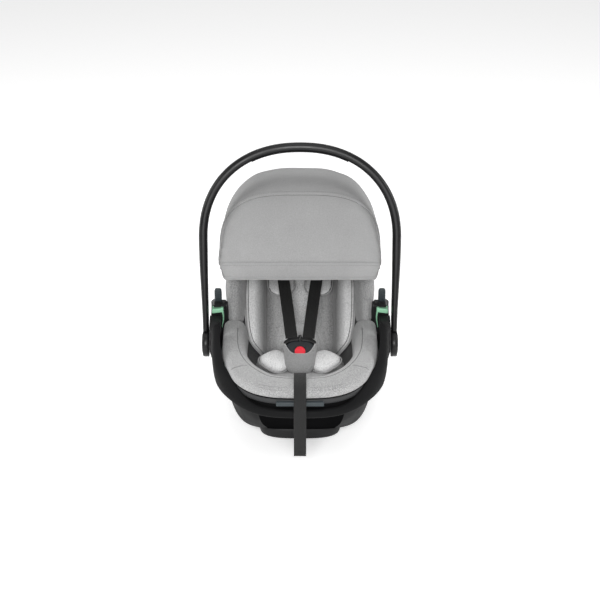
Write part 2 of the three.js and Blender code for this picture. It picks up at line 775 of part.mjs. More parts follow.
function headrestPart(back, thick, halfWidth, wing, inset) {
  const shape = outline(headrestSection(halfWidth, back, thick, wing));
  const options = { depth: HEADREST.to - HEADREST.from - 2 * inset, bevelEnabled: false };
  const turn = new THREE.Matrix4().makeBasis(v3(1, 0, 0), v3(0, 0, 1), v3(0, 1, 0));
  const geometry = new THREE.ExtrudeGeometry(shape, options).applyMatrix4(turn);
  const flipped = solidFromMirrored(geometry.translate(0, HEADREST.from + inset, 0));
  return flipped.applyMatrix4(backFrame);
}
// A mirroring turn leaves faces inside out: put them right.
function solidFromMirrored(geometry) {
  const g = bare(geometry);
  const p = g.attributes.position;
  const points = Array.from({ length: p.count }, (_, i) => v3(p.getX(i), p.getY(i), p.getZ(i)));
  return closedGeometry(points, [...g.index.array]);
}
add("headrest_shell", headrestPart(1.5, 4, HEADREST.halfWidth, HEADREST.wing, 4), shellBlack);
add(
  "headrest_pad",
  headrestPart(6.2, HEADREST.thick, HEADREST.halfWidth - 4.6, HEADREST.wing + 4, 0),
  paleKnit,
);

// ---------------------------------------------------------------- harness
const buckleFrame = new THREE.Matrix4()
  .makeBasis(
    v3(1, 0, 0),
    v3(0, sin(BUCKLE.lean), cos(BUCKLE.lean)),
    v3(0, -cos(BUCKLE.lean), sin(BUCKLE.lean)),
  )
  .setPosition(0, BUCKLE.y, BUCKLE.z);
const inBuckle = (x, y, z) => inFrame(buckleFrame, x, y, z);

const buckleShape = (grow) => {
  const shape = new THREE.Shape();
  const [w, low, high] = [30 + grow, 30 - grow, 74 + grow];
  shape.moveTo(-w * 0.55, low);
  shape.lineTo(w * 0.55, low);
  shape.quadraticCurveTo(w * 0.95, low + 8, w, high - 12);
  shape.lineTo(w - 3, high).lineTo(-w + 3, high).lineTo(-w, high - 12);
  shape.quadraticCurveTo(-w * 0.95, low + 8, -w * 0.55, low);
  return shape;
};
const RED = { radius: 11.5, at: 49.5, face: 9 };
const buckleBlock = solid(flatSlab(buckleShape(0), -8, 8, 2), buckleFrame);
const redWell = solid(
  new THREE.CylinderGeometry(RED.radius + 0.5, RED.radius + 0.5, 16, 28)
    .rotateX(PI / 2)
    .translate(0, RED.at, 6),
  buckleFrame,
);
const tongueSlots = solid(boxAt([-27, 60, -2.4], [27, 90, 2.4]), buckleFrame);
add("buckle_body", geometryOf(buckleBlock.subtract(redWell).subtract(tongueSlots)), shellBlack);
add(
  "buckle_button",
  new THREE.CylinderGeometry(RED.radius - 1, RED.radius, 7.6, 28)
    .rotateX(PI / 2)
    .translate(0, RED.at, 6.4)
    .applyMatrix4(buckleFrame),
  red,
);

function bucklePouch() {
  const shape = new THREE.Shape();
  shape.moveTo(-13, 0);
  shape.quadraticCurveTo(-34, 4, -34, 30);
  shape.lineTo(-35, 57);
  shape.quadraticCurveTo(-22, 41, 0, 40.5).quadraticCurveTo(22, 41, 35, 57);
  shape.lineTo(34, 30);
  shape.quadraticCurveTo(34, 4, 13, 0);

  const cup = solid(flatSlab(shape, -14, 14, 2), buckleFrame);
  const hold = solid(flatSlab(buckleShape(0.6), -8.6, 8.6, 0.5), buckleFrame);
  const stalk = solid(boxAt([-13.2, -30, -1.6], [13.2, 34, 1.6]), buckleFrame);
  const behindEdge = solid(
    new THREE.CylinderGeometry(RED.radius + 1, RED.radius + 1, 13, 28)
      .rotateX(PI / 2)
      .translate(0, RED.at, 4.5),
    buckleFrame,
  );
  return cup.subtract(hold).subtract(stalk).subtract(behindEdge).subtract(seatSlab(GAP));
}
add("buckle_pouch", geometryOf(largest(bucklePouch())), greyWeave);
add(
  "crotch_strap",
  geometryOf(
    largest(
      solid(boxAt([-12.5, -30, -0.9], [12.5, 29.2, 0.9]), buckleFrame).subtract(
        seatSlab(GAP),
      ),
    ),
  ),
  webbingBlack,
);

// A tongue's plate goes into the buckle; its eye holds the webbing.
function buckleTongue() {
  const plate = roundedRectangle(3, 62, 24, 80, 1.5);
  const eye = new THREE.Shape();
  eye.moveTo(2.5, 75.5);
  eye.lineTo(33.5, 75.5).lineTo(33.5, 83).quadraticCurveTo(18, 91, 2.5, 89);
  eye.closePath();
  const slot = solid(boxAt([4.8, 80.4, -12], [31, 84, 12]), buckleFrame);
  return geometryOf(
    solid(flatSlab(plate, -1.6, 1.6, 0.4), buckleFrame)
      .add(solid(flatSlab(eye, -4, 4, 1), buckleFrame))
      .subtract(slot),
  );
}
addPair("buckle_tongue", buckleTongue(), shellBlack);

// Flat webbing along points, its width across X where it can be.
function webbing(points, count, width = WEBBING.width) {
  const path = new THREE.CatmullRomCurve3(points).getSpacedPoints(count);
  const [w, t] = [width / 2, WEBBING.thick / 2];
  return sweep(path, () => v3(1, 0, 0), () => [[-w, -t], [w, -t], [w, t], [-w, t]]);
}
const shoulderTop = inFrame(backFrame, 41, 218, 16);
const strapFoot = inBuckle(18, 90.6, 7);

function shoulderStrap() {
  return webbing(
    [
      strapFoot,
      strapFoot.clone().lerp(shoulderTop, 0.25).add(v3(0, -4, 8)),
      strapFoot.clone().lerp(shoulderTop, 0.6).add(v3(0, -5, 11)),
      strapFoot.clone().lerp(shoulderTop, 0.88).add(v3(0, -3, 6)),
      inFrame(backFrame, 42, 226, 8),
      inFrame(backFrame, 42, 229, 2),
    ],
    16,
  );
}
addPair("shoulder_strap", shoulderStrap(), webbingBlack);

function shoulderPad() {
  const middle = strapFoot.clone().lerp(shoulderTop, 0.78);
  const along = shoulderTop.clone().sub(strapFoot).normalize();
  const normal = v3(1, 0, 0).cross(along).normalize();
  const frame = new THREE.Matrix4()
    .makeBasis(along.clone().cross(normal), along, normal)
    .setPosition(middle.addScaledVector(normal, -9));
  return flatSlab(roundedRectangle(-28, -38, 28, 34, 22), -6, 6, 4).applyMatrix4(frame);
}
addPair("shoulder_pad", shoulderPad(), paleKnit);

function hipStrap() {
  return webbing(
    [
      inBuckle(17, 81, -6.4),
      inBuckle(19, 60, -17),
      inBuckle(24, 30, -20),
      inFrame(seatFrame, 25, -84, 2.4),
      inFrame(seatFrame, 27, -60, 1.6),
    ],
    10,
    22,
  );
}
addPair("hip_strap", hipStrap(), webbingBlack);

// ---------------------------------------------------------------- adjuster
const ADJUSTER = { y: -226, z: 186.5 };
const adjusterFrame = new THREE.Matrix4()
  .makeRotationX(SEAT_ANGLE)
  .setPosition(0, ADJUSTER.y, ADJUSTER.z);
function adjusterHousing() {
  const block = solid(flatSlab(roundedRectangle(-20, -13, 20, 13, 4), 0, 10, 1.5), adjusterFrame);
  const well = solid(boxAt([-15.6, -9.5, 1.4], [15.6, 9.5, 20]), adjusterFrame);
  return block.subtract(well);
}
add("adjuster_housing", geometryOf(adjusterHousing()), shellBlack);
add(
  "adjuster_lever",
  flatSlab(roundedRectangle(-15, -9, 15, 2, 2), 4, 8.5, 1).applyMatrix4(adjusterFrame),
  steel,
);

// The free end of the harness strap: over the cover's foot end and straight down.
const STRAP_ROUTE = [
  [-222, 200], [-232, 211], [-246, 221], [-262, 226], [-284, 227.2], [-304, 226.2],
  [-318, 222], [-328, 213], [-333.5, 203], [-336.4, 190], [-337.2, 175], [-337.4, 155],
  [-337.4, 130], [-337.4, 105], [-337.4, 80],
].map(([y, z]) => v3(0, y, z));
add("adjuster_strap", webbing(STRAP_ROUTE, 30), webbingBlack);

add(
  "recline_button",
  flatSlab(roundedRectangle(-48, -331.5, 48, -322, 3), 190, 198.5, 1.5),
  slate,
);

// ---------------------------------------------------------------- back of shell
function shoulderBeltGuide() {
  const side = outline([
    [232, 268], [266, 262], [276, 270], [276, 292], [271, 294], [269, 276], [260, 272],
    [253, 276], [253, 300], [246, 304], [232, 290],
  ]);
  return geometryOf(largest(solid(sideSlab(side, -24, 24, 2)).subtract(shellBlock(GAP))));
}
add("shoulder_belt_guide", shoulderBeltGuide(), mint);

export default infantCarSeat;
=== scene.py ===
"""Fabric, webbing and moulded plastic for an infant car seat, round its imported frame.

Design lengths are in millimetres from the seat's own datum; place() turns such a point
into Blender's metres in the frame. Left is the seated child's left, +X.
"""

import json
import math

import bpy
from mathutils import Matrix, Vector, noise

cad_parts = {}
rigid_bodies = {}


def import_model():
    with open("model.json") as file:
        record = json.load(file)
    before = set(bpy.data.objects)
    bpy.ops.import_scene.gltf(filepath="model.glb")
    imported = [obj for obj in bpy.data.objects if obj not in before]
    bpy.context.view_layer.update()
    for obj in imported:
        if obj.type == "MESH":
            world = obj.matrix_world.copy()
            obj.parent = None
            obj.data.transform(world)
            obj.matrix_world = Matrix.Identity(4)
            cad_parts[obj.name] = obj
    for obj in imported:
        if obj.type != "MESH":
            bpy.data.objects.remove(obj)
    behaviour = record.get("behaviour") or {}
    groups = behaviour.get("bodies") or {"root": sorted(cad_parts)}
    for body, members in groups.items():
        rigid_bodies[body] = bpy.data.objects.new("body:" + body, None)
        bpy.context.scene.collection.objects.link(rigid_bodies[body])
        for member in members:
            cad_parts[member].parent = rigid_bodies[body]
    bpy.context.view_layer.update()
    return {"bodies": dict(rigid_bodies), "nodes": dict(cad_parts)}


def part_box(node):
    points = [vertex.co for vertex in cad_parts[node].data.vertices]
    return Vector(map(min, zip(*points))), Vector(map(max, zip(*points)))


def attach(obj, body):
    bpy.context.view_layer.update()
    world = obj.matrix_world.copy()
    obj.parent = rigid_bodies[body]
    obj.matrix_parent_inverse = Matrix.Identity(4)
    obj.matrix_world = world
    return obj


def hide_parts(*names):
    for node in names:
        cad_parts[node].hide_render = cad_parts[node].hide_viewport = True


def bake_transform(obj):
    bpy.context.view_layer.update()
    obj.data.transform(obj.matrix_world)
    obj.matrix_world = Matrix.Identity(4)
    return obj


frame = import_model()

# ------------------------------------------------------------------ design sizes
MM = 0.001
PIVOT_Y = -35  # the handle's axis, from the datum
PIVOT_Z = 184

axle_low, axle_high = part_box("handle_axle_left")
SHIFT_Y = (axle_low[1] + axle_high[1]) / 2 / MM - PIVOT_Y

RIM_HALF = 163
RIM_HEAD_NARROWER = 6
RIM_FRONT = 318
RIM_REAR = 300
FOOT_SQUARE = 3
HEAD_SQUARE = 2.6
WALL = 4
LINER = 14
POLE = (0, 25, 92)
BASE_HALF = 122
BASE_FRONT = 92
BASE_REAR = 125

BACK_Y, BACK_Z, BACK_ANGLE = 20, 121, math.radians(46.6)
SEAT_ANGLE = math.radians(-14.5)

CANOPY_Y, CANOPY_Z = 100, 310
REAR_SEAM = (math.radians(152), 213, 161, 2.85)  # angle, reach, half width, squareness
MID_HOOP = (math.radians(69.2), 207, 170, 3.2)
FRONT_HOOP = (math.radians(24), 222, 173, 3.2)
HEM_DROP = 36

HANDLE_REACH, HANDLE_HALF, HANDLE_FOOT_HALF = 424, 207, 202.5
HANDLE_STRAIGHT, HANDLE_SQUARE, HANDLE_LEAN = 229, 2.2, math.radians(15)

BUCKLE_Y, BUCKLE_Z, BUCKLE_LEAN = -131, 157.4, math.radians(48)
WEB_WIDTH, WEB_THICK = 25, 1.6
RED_AT = 49.5  # the red button's centre, up the buckle


def place(x, y, z):
    """A datum point in millimetres as a point of the frame in metres."""
    return Vector((x, y + SHIFT_Y, z)) * MM


def smooth(t):
    s = min(1.0, max(0.0, t))
    return s * s * (3 - 2 * s)


def power(value, exponent):
    return math.copysign(abs(value) ** exponent, value)


def steps(count, last=1.0):
    return [i / (count - 1) * last for i in range(count)]


def lerp(a, b, t):
    return a + (b - a) * t


# ------------------------------------------------------------------ camera, lights
def camera_and_studio():
    elevation = math.radians(25)
    distance = 3.5
    target = Vector((0, 0, 0.2778))
    away = Vector((0, -math.cos(elevation), math.sin(elevation)))
    data = bpy.data.cameras.new("camera")
    data.lens = 97.7
    data.sensor_width = 36
    camera = bpy.data.objects.new("camera", data)
    camera.location = target + away * distance
    camera.rotation_euler = (math.pi / 2 - elevation, 0, 0)
    bpy.context.scene.collection.objects.link(camera)
    bpy.context.scene.camera = camera

    floor = bpy.data.meshes.new("floor")
    s = 14
    floor.from_pydata([(-s, -s, 0), (s, -s, 0), (s, s, 0), (-s, s, 0)], [], [(0, 1, 2, 3)])
    plane = bpy.data.objects.new("floor", floor)
    plane.location.z = -0.0005
    bpy.context.scene.collection.objects.link(plane)
    pale = Look("pale_floor", (0.93, 0.93, 0.93), 0.9, Emission_Color=(1, 1, 1, 1), Emission_Strength=0.42)
    floor.materials.append(pale.material)

    for name, spot, size, watts in [
        ("key", (-0.15, -3.3, 1.75), 1.0, 76),
        ("fill", (0.3, -2.6, 3.0), 1.6, 20),
        ("top", (0, 0.3, 3.2), 2.6, 30),
        ("rim_left", (-2.4, 0.2, 1.3), 1.2, 24),
        ("rim_right", (2.4, 0.2, 1.3), 1.2, 24),
    ]:
        light = bpy.data.lights.new(name, "AREA")
        light.size = size
        light.energy = watts
        lamp = bpy.data.objects.new(name, light)
        lamp.location = spot
        lamp.rotation_euler = (Vector((0, 0, 0.3)) - Vector(spot)).to_track_quat("-Z", "Y").to_euler()
        bpy.context.scene.collection.objects.link(lamp)
    world = bpy.data.worlds.new("studio")
    world.use_nodes = True
    sky = world.node_tree.nodes["Background"]
    sky.inputs["Color"].default_value = (1, 1, 1, 1)
    sky.inputs["Strength"].default_value = 0.32
    bpy.context.scene.world = world
    bpy.context.scene.view_settings.view_transform = "Standard"


# ------------------------------------------------------------------ materials
class Look:
    """A Principled material and short ways to add nodes to it."""

    def __init__(self, name, color, roughness, **constants):
        self.material = bpy.data.materials.new(name)
        self.material.use_nodes = True
        self.tree = self.material.node_tree
        self.shader = self.tree.nodes["Principled BSDF"]
        self.shader.inputs["Base Color"].default_value = (*color, 1)
        self.shader.inputs["Roughness"].default_value = roughness
        for socket, value in constants.items():
            self.shader.inputs[socket.replace("_", " ")].default_value = value

    def node(self, kind, inputs=None, **settings):
        made = self.tree.nodes.new("ShaderNode" + kind)
        for key, value in settings.items():
            setattr(made, key, value)
        for key, value in (inputs or {}).items():
            if isinstance(value, bpy.types.NodeSocket):
                self.tree.links.new(value, made.inputs[key])
            else:
                made.inputs[key].default_value = value
        return made

    def coordinates(self, scale, source="Object"):
        spot = self.node("TexCoord").outputs[source]
        return self.node("Mapping", {"Vector": spot, "Scale": scale}).outputs[0]

    def noise(self, scale, detail=3, rough=0.55, stretch=(1, 1, 1)):
        made = self.node(
            "TexNoise",
            {"Vector": self.coordinates(stretch), "Scale": scale, "Detail": detail, "Roughness": rough},
        )
        return made.outputs["Fac"]

    def ramp(self, factor, *stops):
        made = self.node("ValToRGB", {"Fac": factor})
        ends = made.color_ramp.elements
        while len(ends) < len(stops):
            ends.new(0.5)
        for end, (at, color) in zip(ends, stops):
            end.position = at
            end.color = (*color, 1)
        return made.outputs["Color"]

    def spread(self, factor, low, high, from_low=0.0, from_high=1.0):
        made = self.node(
            "MapRange",
            {"Value": factor, "From Min": from_low, "From Max": from_high, "To Min": low, "To Max": high},
        )
        return made.outputs["Result"]

    def math(self, operation, a, b):
        return self.node("Math", {0: a, 1: b}, operation=operation).outputs[0]

    def mix(self, factor, a, b, blend="MIX"):
        made = self.node("MixRGB", {"Fac": factor, "Color1": a, "Color2": b}, blend_type=blend)
        return made.outputs["Color"]

    def color(self, socket):
        self.tree.links.new(socket, self.shader.inputs["Base Color"])
        return self

    def rough(self, socket):
        self.tree.links.new(socket, self.shader.inputs["Roughness"])
        return self

    def bump(self, height, distance, strength=1.0):
        made = self.node("Bump", {"Height": height, "Distance": distance, "Strength": strength})
        self.tree.links.new(made.outputs["Normal"], self.shader.inputs["Normal"])
        return self


def grey(level):
    return (level, level, level)


def plastic(name, color, roughness=0.45, grain=0.00006, wear=0.35, gloss=0.3):
    """Moulded plastic: fine spark-eroded grain, uneven gloss and edges rubbed a little lighter."""
    look = Look(name, color, roughness, Specular_IOR_Level=gloss)
    grains = look.noise(1500, 2)
    patches = look.noise(14, 3)
    edges = look.node("NewGeometry").outputs["Pointiness"]
    rubbed = look.math("MULTIPLY", look.spread(edges, 0, wear, 0.52, 0.62), look.noise(60, 4))
    lighter = tuple(min(1, c * 1.8 + 0.006) for c in color)
    darker = tuple(c * 0.82 for c in color)
    body = look.ramp(patches, (0.3, darker), (0.7, color))
    look.color(look.mix(rubbed, body, (*lighter, 1)))
    look.rough(look.spread(patches, roughness - 0.06, roughness + 0.1, 0.3, 0.7))
    return look.bump(grains, grain, 0.6).material


def heather(name, dark, middle, light, fleck=1.0, painted_shade=None):
    """Melange knit: yarns of mixed greys with pale flecks, over a slow mottling.

    The last argument, if given, is (near, far, level near, level far): painted shade that darkens
    the colour by distance from the seat's middle plane, in metres.
    """
    look = Look(name, middle, 0.92, Sheen_Weight=0.25, Sheen_Roughness=0.6)
    yarn = look.noise(640 * fleck, 4, 0.85)
    slow = look.noise(75, 3)
    body = look.ramp(yarn, (0.36, dark), (0.5, middle), (0.64, light))
    tint = look.spread(slow, 0.9, 1.1, 0.3, 0.7)
    body = look.mix(1.0, body, look.ramp(tint, (0.0, grey(0.8)), (1.0, grey(1.0))), "MULTIPLY")
    # Painted shade: the colour scaled from one level to the other by distance from the middle plane.
    if painted_shade:
        near, far, at_near, at_far = painted_shade
        x = look.node("SeparateXYZ", {"Vector": look.coordinates((1, 1, 1))}).outputs["X"]
        level = look.spread(look.math("ABSOLUTE", x, 0.0), at_near, at_far, near, far)
        shade = look.node("CombineColor", {0: level, 1: level, 2: level}).outputs[0]
        body = look.mix(1.0, body, shade, "MULTIPLY")
    look.color(body)
    cells = look.node("TexVoronoi", {"Vector": look.coordinates((1, 1, 1)), "Scale": 900})
    height = look.math("ADD", look.math("MULTIPLY", cells.outputs["Distance"], -0.6), yarn)
    look.rough(look.spread(yarn, 0.86, 0.98))
    return look.bump(height, 0.00006, 0.7).material


def woven(name, middle, thread=0.0009):
    """Plain woven cloth on a piece with its own flat coordinates, in metres."""
    look = Look(name, grey(middle), 0.85, Sheen_Weight=0.15, Sheen_Roughness=0.5)
    across = look.coordinates((1 / thread, 1, 1), "UV")
    along = look.coordinates((1, 1 / thread, 1), "UV")
    warp = look.node("TexWave", {"Vector": across, "Scale": 1, "Distortion": 0.4}, bands_direction="X")
    weft = look.node("TexWave", {"Vector": along, "Scale": 1, "Distortion": 0.4}, bands_direction="Y")
    weave = look.math("MULTIPLY", warp.outputs["Fac"], weft.outputs["Fac"])
    yarn = look.noise(480, 3, 0.7)
    slow = look.noise(18, 3)
    body = look.ramp(yarn, (0.3, grey(middle * 0.88)), (0.7, grey(middle * 1.12)))
    shade = look.ramp(slow, (0.25, grey(0.93)), (0.75, grey(1.0)))
    look.color(look.mix(1.0, body, shade, "MULTIPLY"))
    look.rough(look.spread(yarn, 0.8, 0.93))
    height = look.math("ADD", weave, look.math("MULTIPLY", yarn, 0.5))
    return look.bump(height, 0.00018, 0.6).material


def webbing_look(name, middle):
    """Belt webbing: slanting ribs over fine rows, light yarn flecks and a faint gloss."""
    look = Look(name, grey(middle), 0.7, Sheen_Weight=0.1, Specular_IOR_Level=0.2)
    flat = look.coordinates((1, 1, 1), "UV")
    ribs = look.node(
        "TexWave", {"Vector": flat, "Scale": 260, "Distortion": 0.0}, bands_direction="DIAGONAL"
    )
    rows = look.node("TexWave", {"Vector": flat, "Scale": 420}, bands_direction="X")
    weave = look.math("ADD", ribs.outputs["Fac"], look.math("MULTIPLY", rows.outputs["Fac"], 0.5))
    yarn = look.noise(900, 2)
    body = look.ramp(weave, (0.2, grey(middle * 0.6)), (1.0, grey(middle * 1.35)))
    look.color(look.mix(look.spread(yarn, 0.0, 0.35), body, (*grey(middle * 1.7), 1)))
    look.rough(look.spread(weave, 0.55, 0.75, 0, 1.5))
    return look.bump(weave, 0.00025, 0.8).material


def metal(name, color, roughness):
    """Plain steel with a drawn grain."""
    look = Look(name, color, roughness, Metallic=1.0)
    drawn = look.noise(300, 4, 0.6, (0.05, 1, 1))
    look.color(look.ramp(drawn, (0.3, tuple(c * 0.8 for c in color)), (0.7, color)))
    look.rough(look.spread(drawn, roughness - 0.08, roughness + 0.12))
    return look.bump(drawn, 0.00004, 0.5).material


def bead_foam(name):
    """Expanded foam: beads a few millimetres across."""
    look = Look(name, grey(0.82), 0.85)
    cells = look.node("TexVoronoi", {"Vector": look.coordinates((1, 1, 1)), "Scale": 300})
    look.color(look.ramp(cells.outputs["Distance"], (0.2, grey(0.86)), (0.8, grey(0.7))))
    look.rough(look.spread(cells.outputs["Distance"], 0.8, 0.95))
    return look.bump(cells.outputs["Distance"], 0.0006, -0.5).material


MATERIALS = {
    "shell_plastic": plastic("shell_plastic", (0.012, 0.0122, 0.0128), 0.5),
    # Painted shade: the shell's plastic made darker for the band and the lower shell, which face down.
    "lower_plastic_painted_shade": plastic("lower_plastic_painted_shade", (0.0085, 0.0086, 0.009), 0.6, 0.00006, 0.3, 0.06),
    # Painted shade: still darker plastic for the shell's front recess.
    "recess_plastic_painted_shade": plastic("recess_plastic_painted_shade", (0.005, 0.005, 0.0053), 0.8, 0.00006, 0.1, 0.0),
    "handle_plastic": plastic("handle_plastic", (0.005, 0.005, 0.0055), 0.36, 0.00003, 0.2),
    "gloss_black": plastic("gloss_black", (0.006, 0.006, 0.0065), 0.28, 0.00002, 0.2),
    "buckle_plastic": plastic("buckle_plastic", (0.02, 0.023, 0.026), 0.42),
    "trim_plastic": plastic("trim_plastic", (0.036, 0.0365, 0.038), 0.55),
    "grip_rubber": plastic("grip_rubber", (0.012, 0.012, 0.013), 0.75, 0.00012, 0.1),
    "slate_plastic": plastic("slate_plastic", (0.036, 0.046, 0.051), 0.48),
    "mint_plastic": plastic("mint_plastic", (0.3, 0.62, 0.4), 0.45, 0.00004, 0.3),
    "red_plastic": plastic("red_plastic", (0.78, 0.03, 0.05), 0.3, 0.00002, 0.2),
    "steel": metal("steel", (0.46, 0.46, 0.47), 0.34),
    "liner_foam": bead_foam("liner_foam"),
    "cover_fabric": heather("cover_fabric", grey(0.15), grey(0.29), grey(0.5), 0.85),
    "insert_fabric": heather("insert_fabric", grey(0.4), grey(0.66), grey(0.92), 0.85),
    # Painted shade: the bolster's fabric darker on its inner side, towards the seat's middle.
    "bolster_fabric_painted_shade": heather(
        "bolster_fabric_painted_shade", grey(0.42), grey(0.7), grey(0.95), 0.85, painted_shade=(0.079, 0.101, 0.26, 1.0)
    ),
    # Painted shade: the back pad darker towards the bolsters and lighter in its middle.
    "back_fabric_painted_shade": heather(
        "back_fabric_painted_shade", grey(0.3), grey(0.6), grey(0.9), 0.8, painted_shade=(0.034, 0.068, 1.0, 0.35)
    ),
    "pouch_fabric": heather("pouch_fabric", grey(0.14), grey(0.23), grey(0.34)),
    "pale_fabric": heather("pale_fabric", grey(0.7), grey(0.85), grey(0.95)),
    # Painted shade: a near-black lining for the shade in the bowl's deep gaps.
    "lining_fabric_painted_shade": heather("lining_fabric_painted_shade", grey(0.04), grey(0.075), grey(0.12)),
    "canopy_fabric": woven("canopy_fabric", 0.28),
    "piping": woven("piping", 0.4),
    "webbing": webbing_look("webbing", 0.011),
    "thread": woven("thread", 0.16, 0.0004),
    "seam_shadow": woven("seam_shadow", 0.1),
}

camera_and_studio()


# ------------------------------------------------------------------ mesh tools
def object_from(name, points, faces, look, uvs=None):
    """uvs holds one (u, v) in metres for each corner of each face."""
    mesh = bpy.data.meshes.new(name)
    mesh.from_pydata(points, [], faces)
    if uvs:
        layer = mesh.uv_layers.new(name="flat")
        for loop, uv in zip(layer.data, uvs):
            loop.uv = uv
    mesh.materials.append(MATERIALS[look])
    mesh.shade_smooth()
    made = bpy.data.objects.new(name, mesh)
    bpy.context.scene.collection.objects.link(made)
    return made


def skin(name, rings, look, closed=True, caps=True, loop=False):
    """A surface through rings of points. closed joins each ring's ends, loop the rings' own."""
    count = len(rings[0])
    points = [p for ring in rings for p in ring]
    across = [0.0]
    for i in range(count):
        across.append(across[-1] + (rings[0][(i + 1) % count] - rings[0][i]).length)
    along = [0.0]
    for r in range(len(rings)):
        along.append(along[-1] + (rings[(r + 1) % len(rings)][0] - rings[r][0]).length)
    faces, uvs = [], []
    for r in range(len(rings) if loop else len(rings) - 1):
        for i in range(count if closed else count - 1):
            a, b = r * count + i, r * count + (i + 1) % count
            c, d = ((r + 1) % len(rings)) * count + (i + 1) % count, ((r + 1) % len(rings)) * count + i
            faces.append((a, b, c, d))
            u0, u1, v0, v1 = across[i], across[i + 1], along[r], along[r + 1]
            uvs += [(u0, v0), (u1, v0), (u1, v1), (u0, v1)]
    if closed and caps and not loop:
        for ring, turned in ((0, True), (len(rings) - 1, False)):
            face = [ring * count + i for i in range(count)]
            faces.append(tuple(reversed(face)) if turned else tuple(face))
            uvs += [(0, 0)] * count
    made = object_from(name, points, faces, look, uvs)
    return outwards(made) if closed else made


def outwards(made):
    """Turns a closed mesh's faces to point out."""
    mesh = made.data
    mesh.calc_loop_triangles()
    volume = 0.0
    for t in mesh.loop_triangles:
        a, b, c = (mesh.vertices[i].co for i in t.vertices)
        volume += a.dot(b.cross(c))
    if volume < 0:
        mesh.flip_normals()
    return made


def slab(name, outline, low, high, matrix, look, bevel=1.0, segments=3):
    """An outline in a plane, thickened from low to high along its normal, with rounded edges."""
    rings = [[matrix @ Vector((x, y, z)) for x, y in outline] for z in (low, high)]
    rings = [[place(*p) for p in ring] for ring in rings]
    made = skin(name, rings, look)
    round_edges(made, bevel, segments)
    return made


def round_edges(made, width, segments=3):
    bevel = made.modifiers.new("edges", "BEVEL")
    bevel.width = width * MM
    bevel.segments = segments
    bevel.limit_method = "ANGLE"
    bevel.angle_limit = math.radians(32)
    bevel.use_clamp_overlap = True
    bevel.harden_normals = False
    return made


def subdivide(made, levels=1):
    surface = made.modifiers.new("smooth", "SUBSURF")
    surface.levels = surface.render_levels = levels
    return made


def thicken(made, thickness, offset=-1.0):
    solid = made.modifiers.new("cloth", "SOLIDIFY")
    solid.thickness = thickness * MM
    solid.offset = offset
    return made


def sweep(name, path, look, side, section, loop=False):
    """section(share) is a list of (a, b): a along side(tangent, share), b across it."""
    rings = []
    last = len(path) - 1
    for i, spot in enumerate(path):
        before = path[i - 1] if loop or i else path[0]
        after = path[(i + 1) % len(path)] if loop else path[min(i + 1, last)]
        tangent = (after - before).normalized()
        across = side(tangent, i / last)
        across = (across - tangent * across.dot(tangent)).normalized()
        up = tangent.cross(across)
        rings.append([spot + across * (a * MM) + up * (b * MM) for a, b in section(i / last)])
    return skin(name, rings, look, loop=loop)


def curve_through(points, count):
    """Evenly spaced points of a smooth curve through some points."""
    dense = []
    last = len(points) - 1
    for i in range(last):
        p0, p1 = points[max(i - 1, 0)], points[i]
        p2, p3 = points[i + 1], points[min(i + 2, last)]
        for k in range(24):
            t = k / 24
            a = (p1 * 2 + (p2 - p0) * t + (p0 * 2 - p1 * 5 + p2 * 4 - p3) * t * t)
            dense.append((a + (p1 * 3 - p0 - p2 * 3 + p3) * t**3) / 2)
    dense.append(points[-1])
    return respaced(dense, count)


def respaced(dense, count):
    lengths = [0.0]
    for a, b in zip(dense, dense[1:]):
        lengths.append(lengths[-1] + (b - a).length)
    out, k = [], 0
    for i in range(count):
        wanted = lengths[-1] * i / (count - 1)
        while k < len(dense) - 2 and lengths[k + 1] < wanted:
            k += 1
        span = max(lengths[k + 1] - lengths[k], 1e-9)
        out.append(dense[k].lerp(dense[k + 1], (wanted - lengths[k]) / span))
    return out


def length_of(path):
    return sum((b - a).length for a, b in zip(path, path[1:]))


def circle(radius, count):
    return [
        (radius * math.cos(2 * math.pi * i / count), radius * math.sin(2 * math.pi * i / count))
        for i in range(count)
    ]


def inward_of(tangent, _share):
    """Level and to the left of the path."""
    return Vector((-tangent.y, tangent.x, 0))


def any_side(tangent, _share):
    return Vector((0, 0, 1)).cross(tangent) if abs(tangent.z) < 0.9 else Vector((1, 0, 0))


def cord_line(name, path, radius, look="piping", loop=False, sides=8):
    """A thin round line, such as piping."""
    return sweep(name, path, look, any_side, lambda _s: circle(radius, sides), loop=loop)


def stitches(name, path, look="thread", long=3.6, gap=1.8, radius=0.32):
    """A row of stitches along a path, as one piece."""
    count = max(2, int(length_of(path) / MM / (long + gap)))
    marks = respaced(path, count * 3 + 1)
    points, faces = [], []
    sides = 5
    for s in range(count):
        a, b = marks[3 * s], marks[3 * s + 2]
        tangent = (b - a).normalized()
        across = any_side(tangent, 0).normalized()
        up = tangent.cross(across)
        start = len(points)
        for share, fullness in ((0, 0.35), (0.2, 1), (0.8, 1), (1, 0.35)):
            centre = a.lerp(b, share)
            for u, v in circle(radius * fullness, sides):
                points.append(centre + across * (u * MM) + up * (v * MM))
        for r in range(3):
            for i in range(sides):
                p, q = start + r * sides + i, start + r * sides + (i + 1) % sides
                faces.append((p, q, q + sides, p + sides))
        faces.append(tuple(start + i for i in reversed(range(sides))))
        faces.append(tuple(start + 3 * sides + i for i in range(sides)))
    return object_from(name, points, faces, look)


def mirrored(made, name):
    """A copy on the other side of the middle plane, with its own mesh."""
    twin = made.copy()
    twin.data = made.data.copy()
    twin.name = name
    twin.data.name = name
    twin.data.transform(Matrix.Scale(-1, 4, (1, 0, 0)))
    twin.data.flip_normals()
    bpy.context.scene.collection.objects.link(twin)
    return twin


def finish_piece(made, body, slot, *nodes):
    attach(made, body)
    if nodes:
        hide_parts(*nodes)
    return made


def both(made, name, body, slot, node=None):
    """Finishes a left piece and its mirrored right twin."""
    twin = mirrored(made, name + "_right")
    for piece, hand in ((made, "left"), (twin, "right")):
        where = body + "_" + hand if body + "_" + hand in frame["bodies"] else body
        finish_piece(piece, where, slot, *([f"{node}_{hand}"] if node else []))
    return made, twin


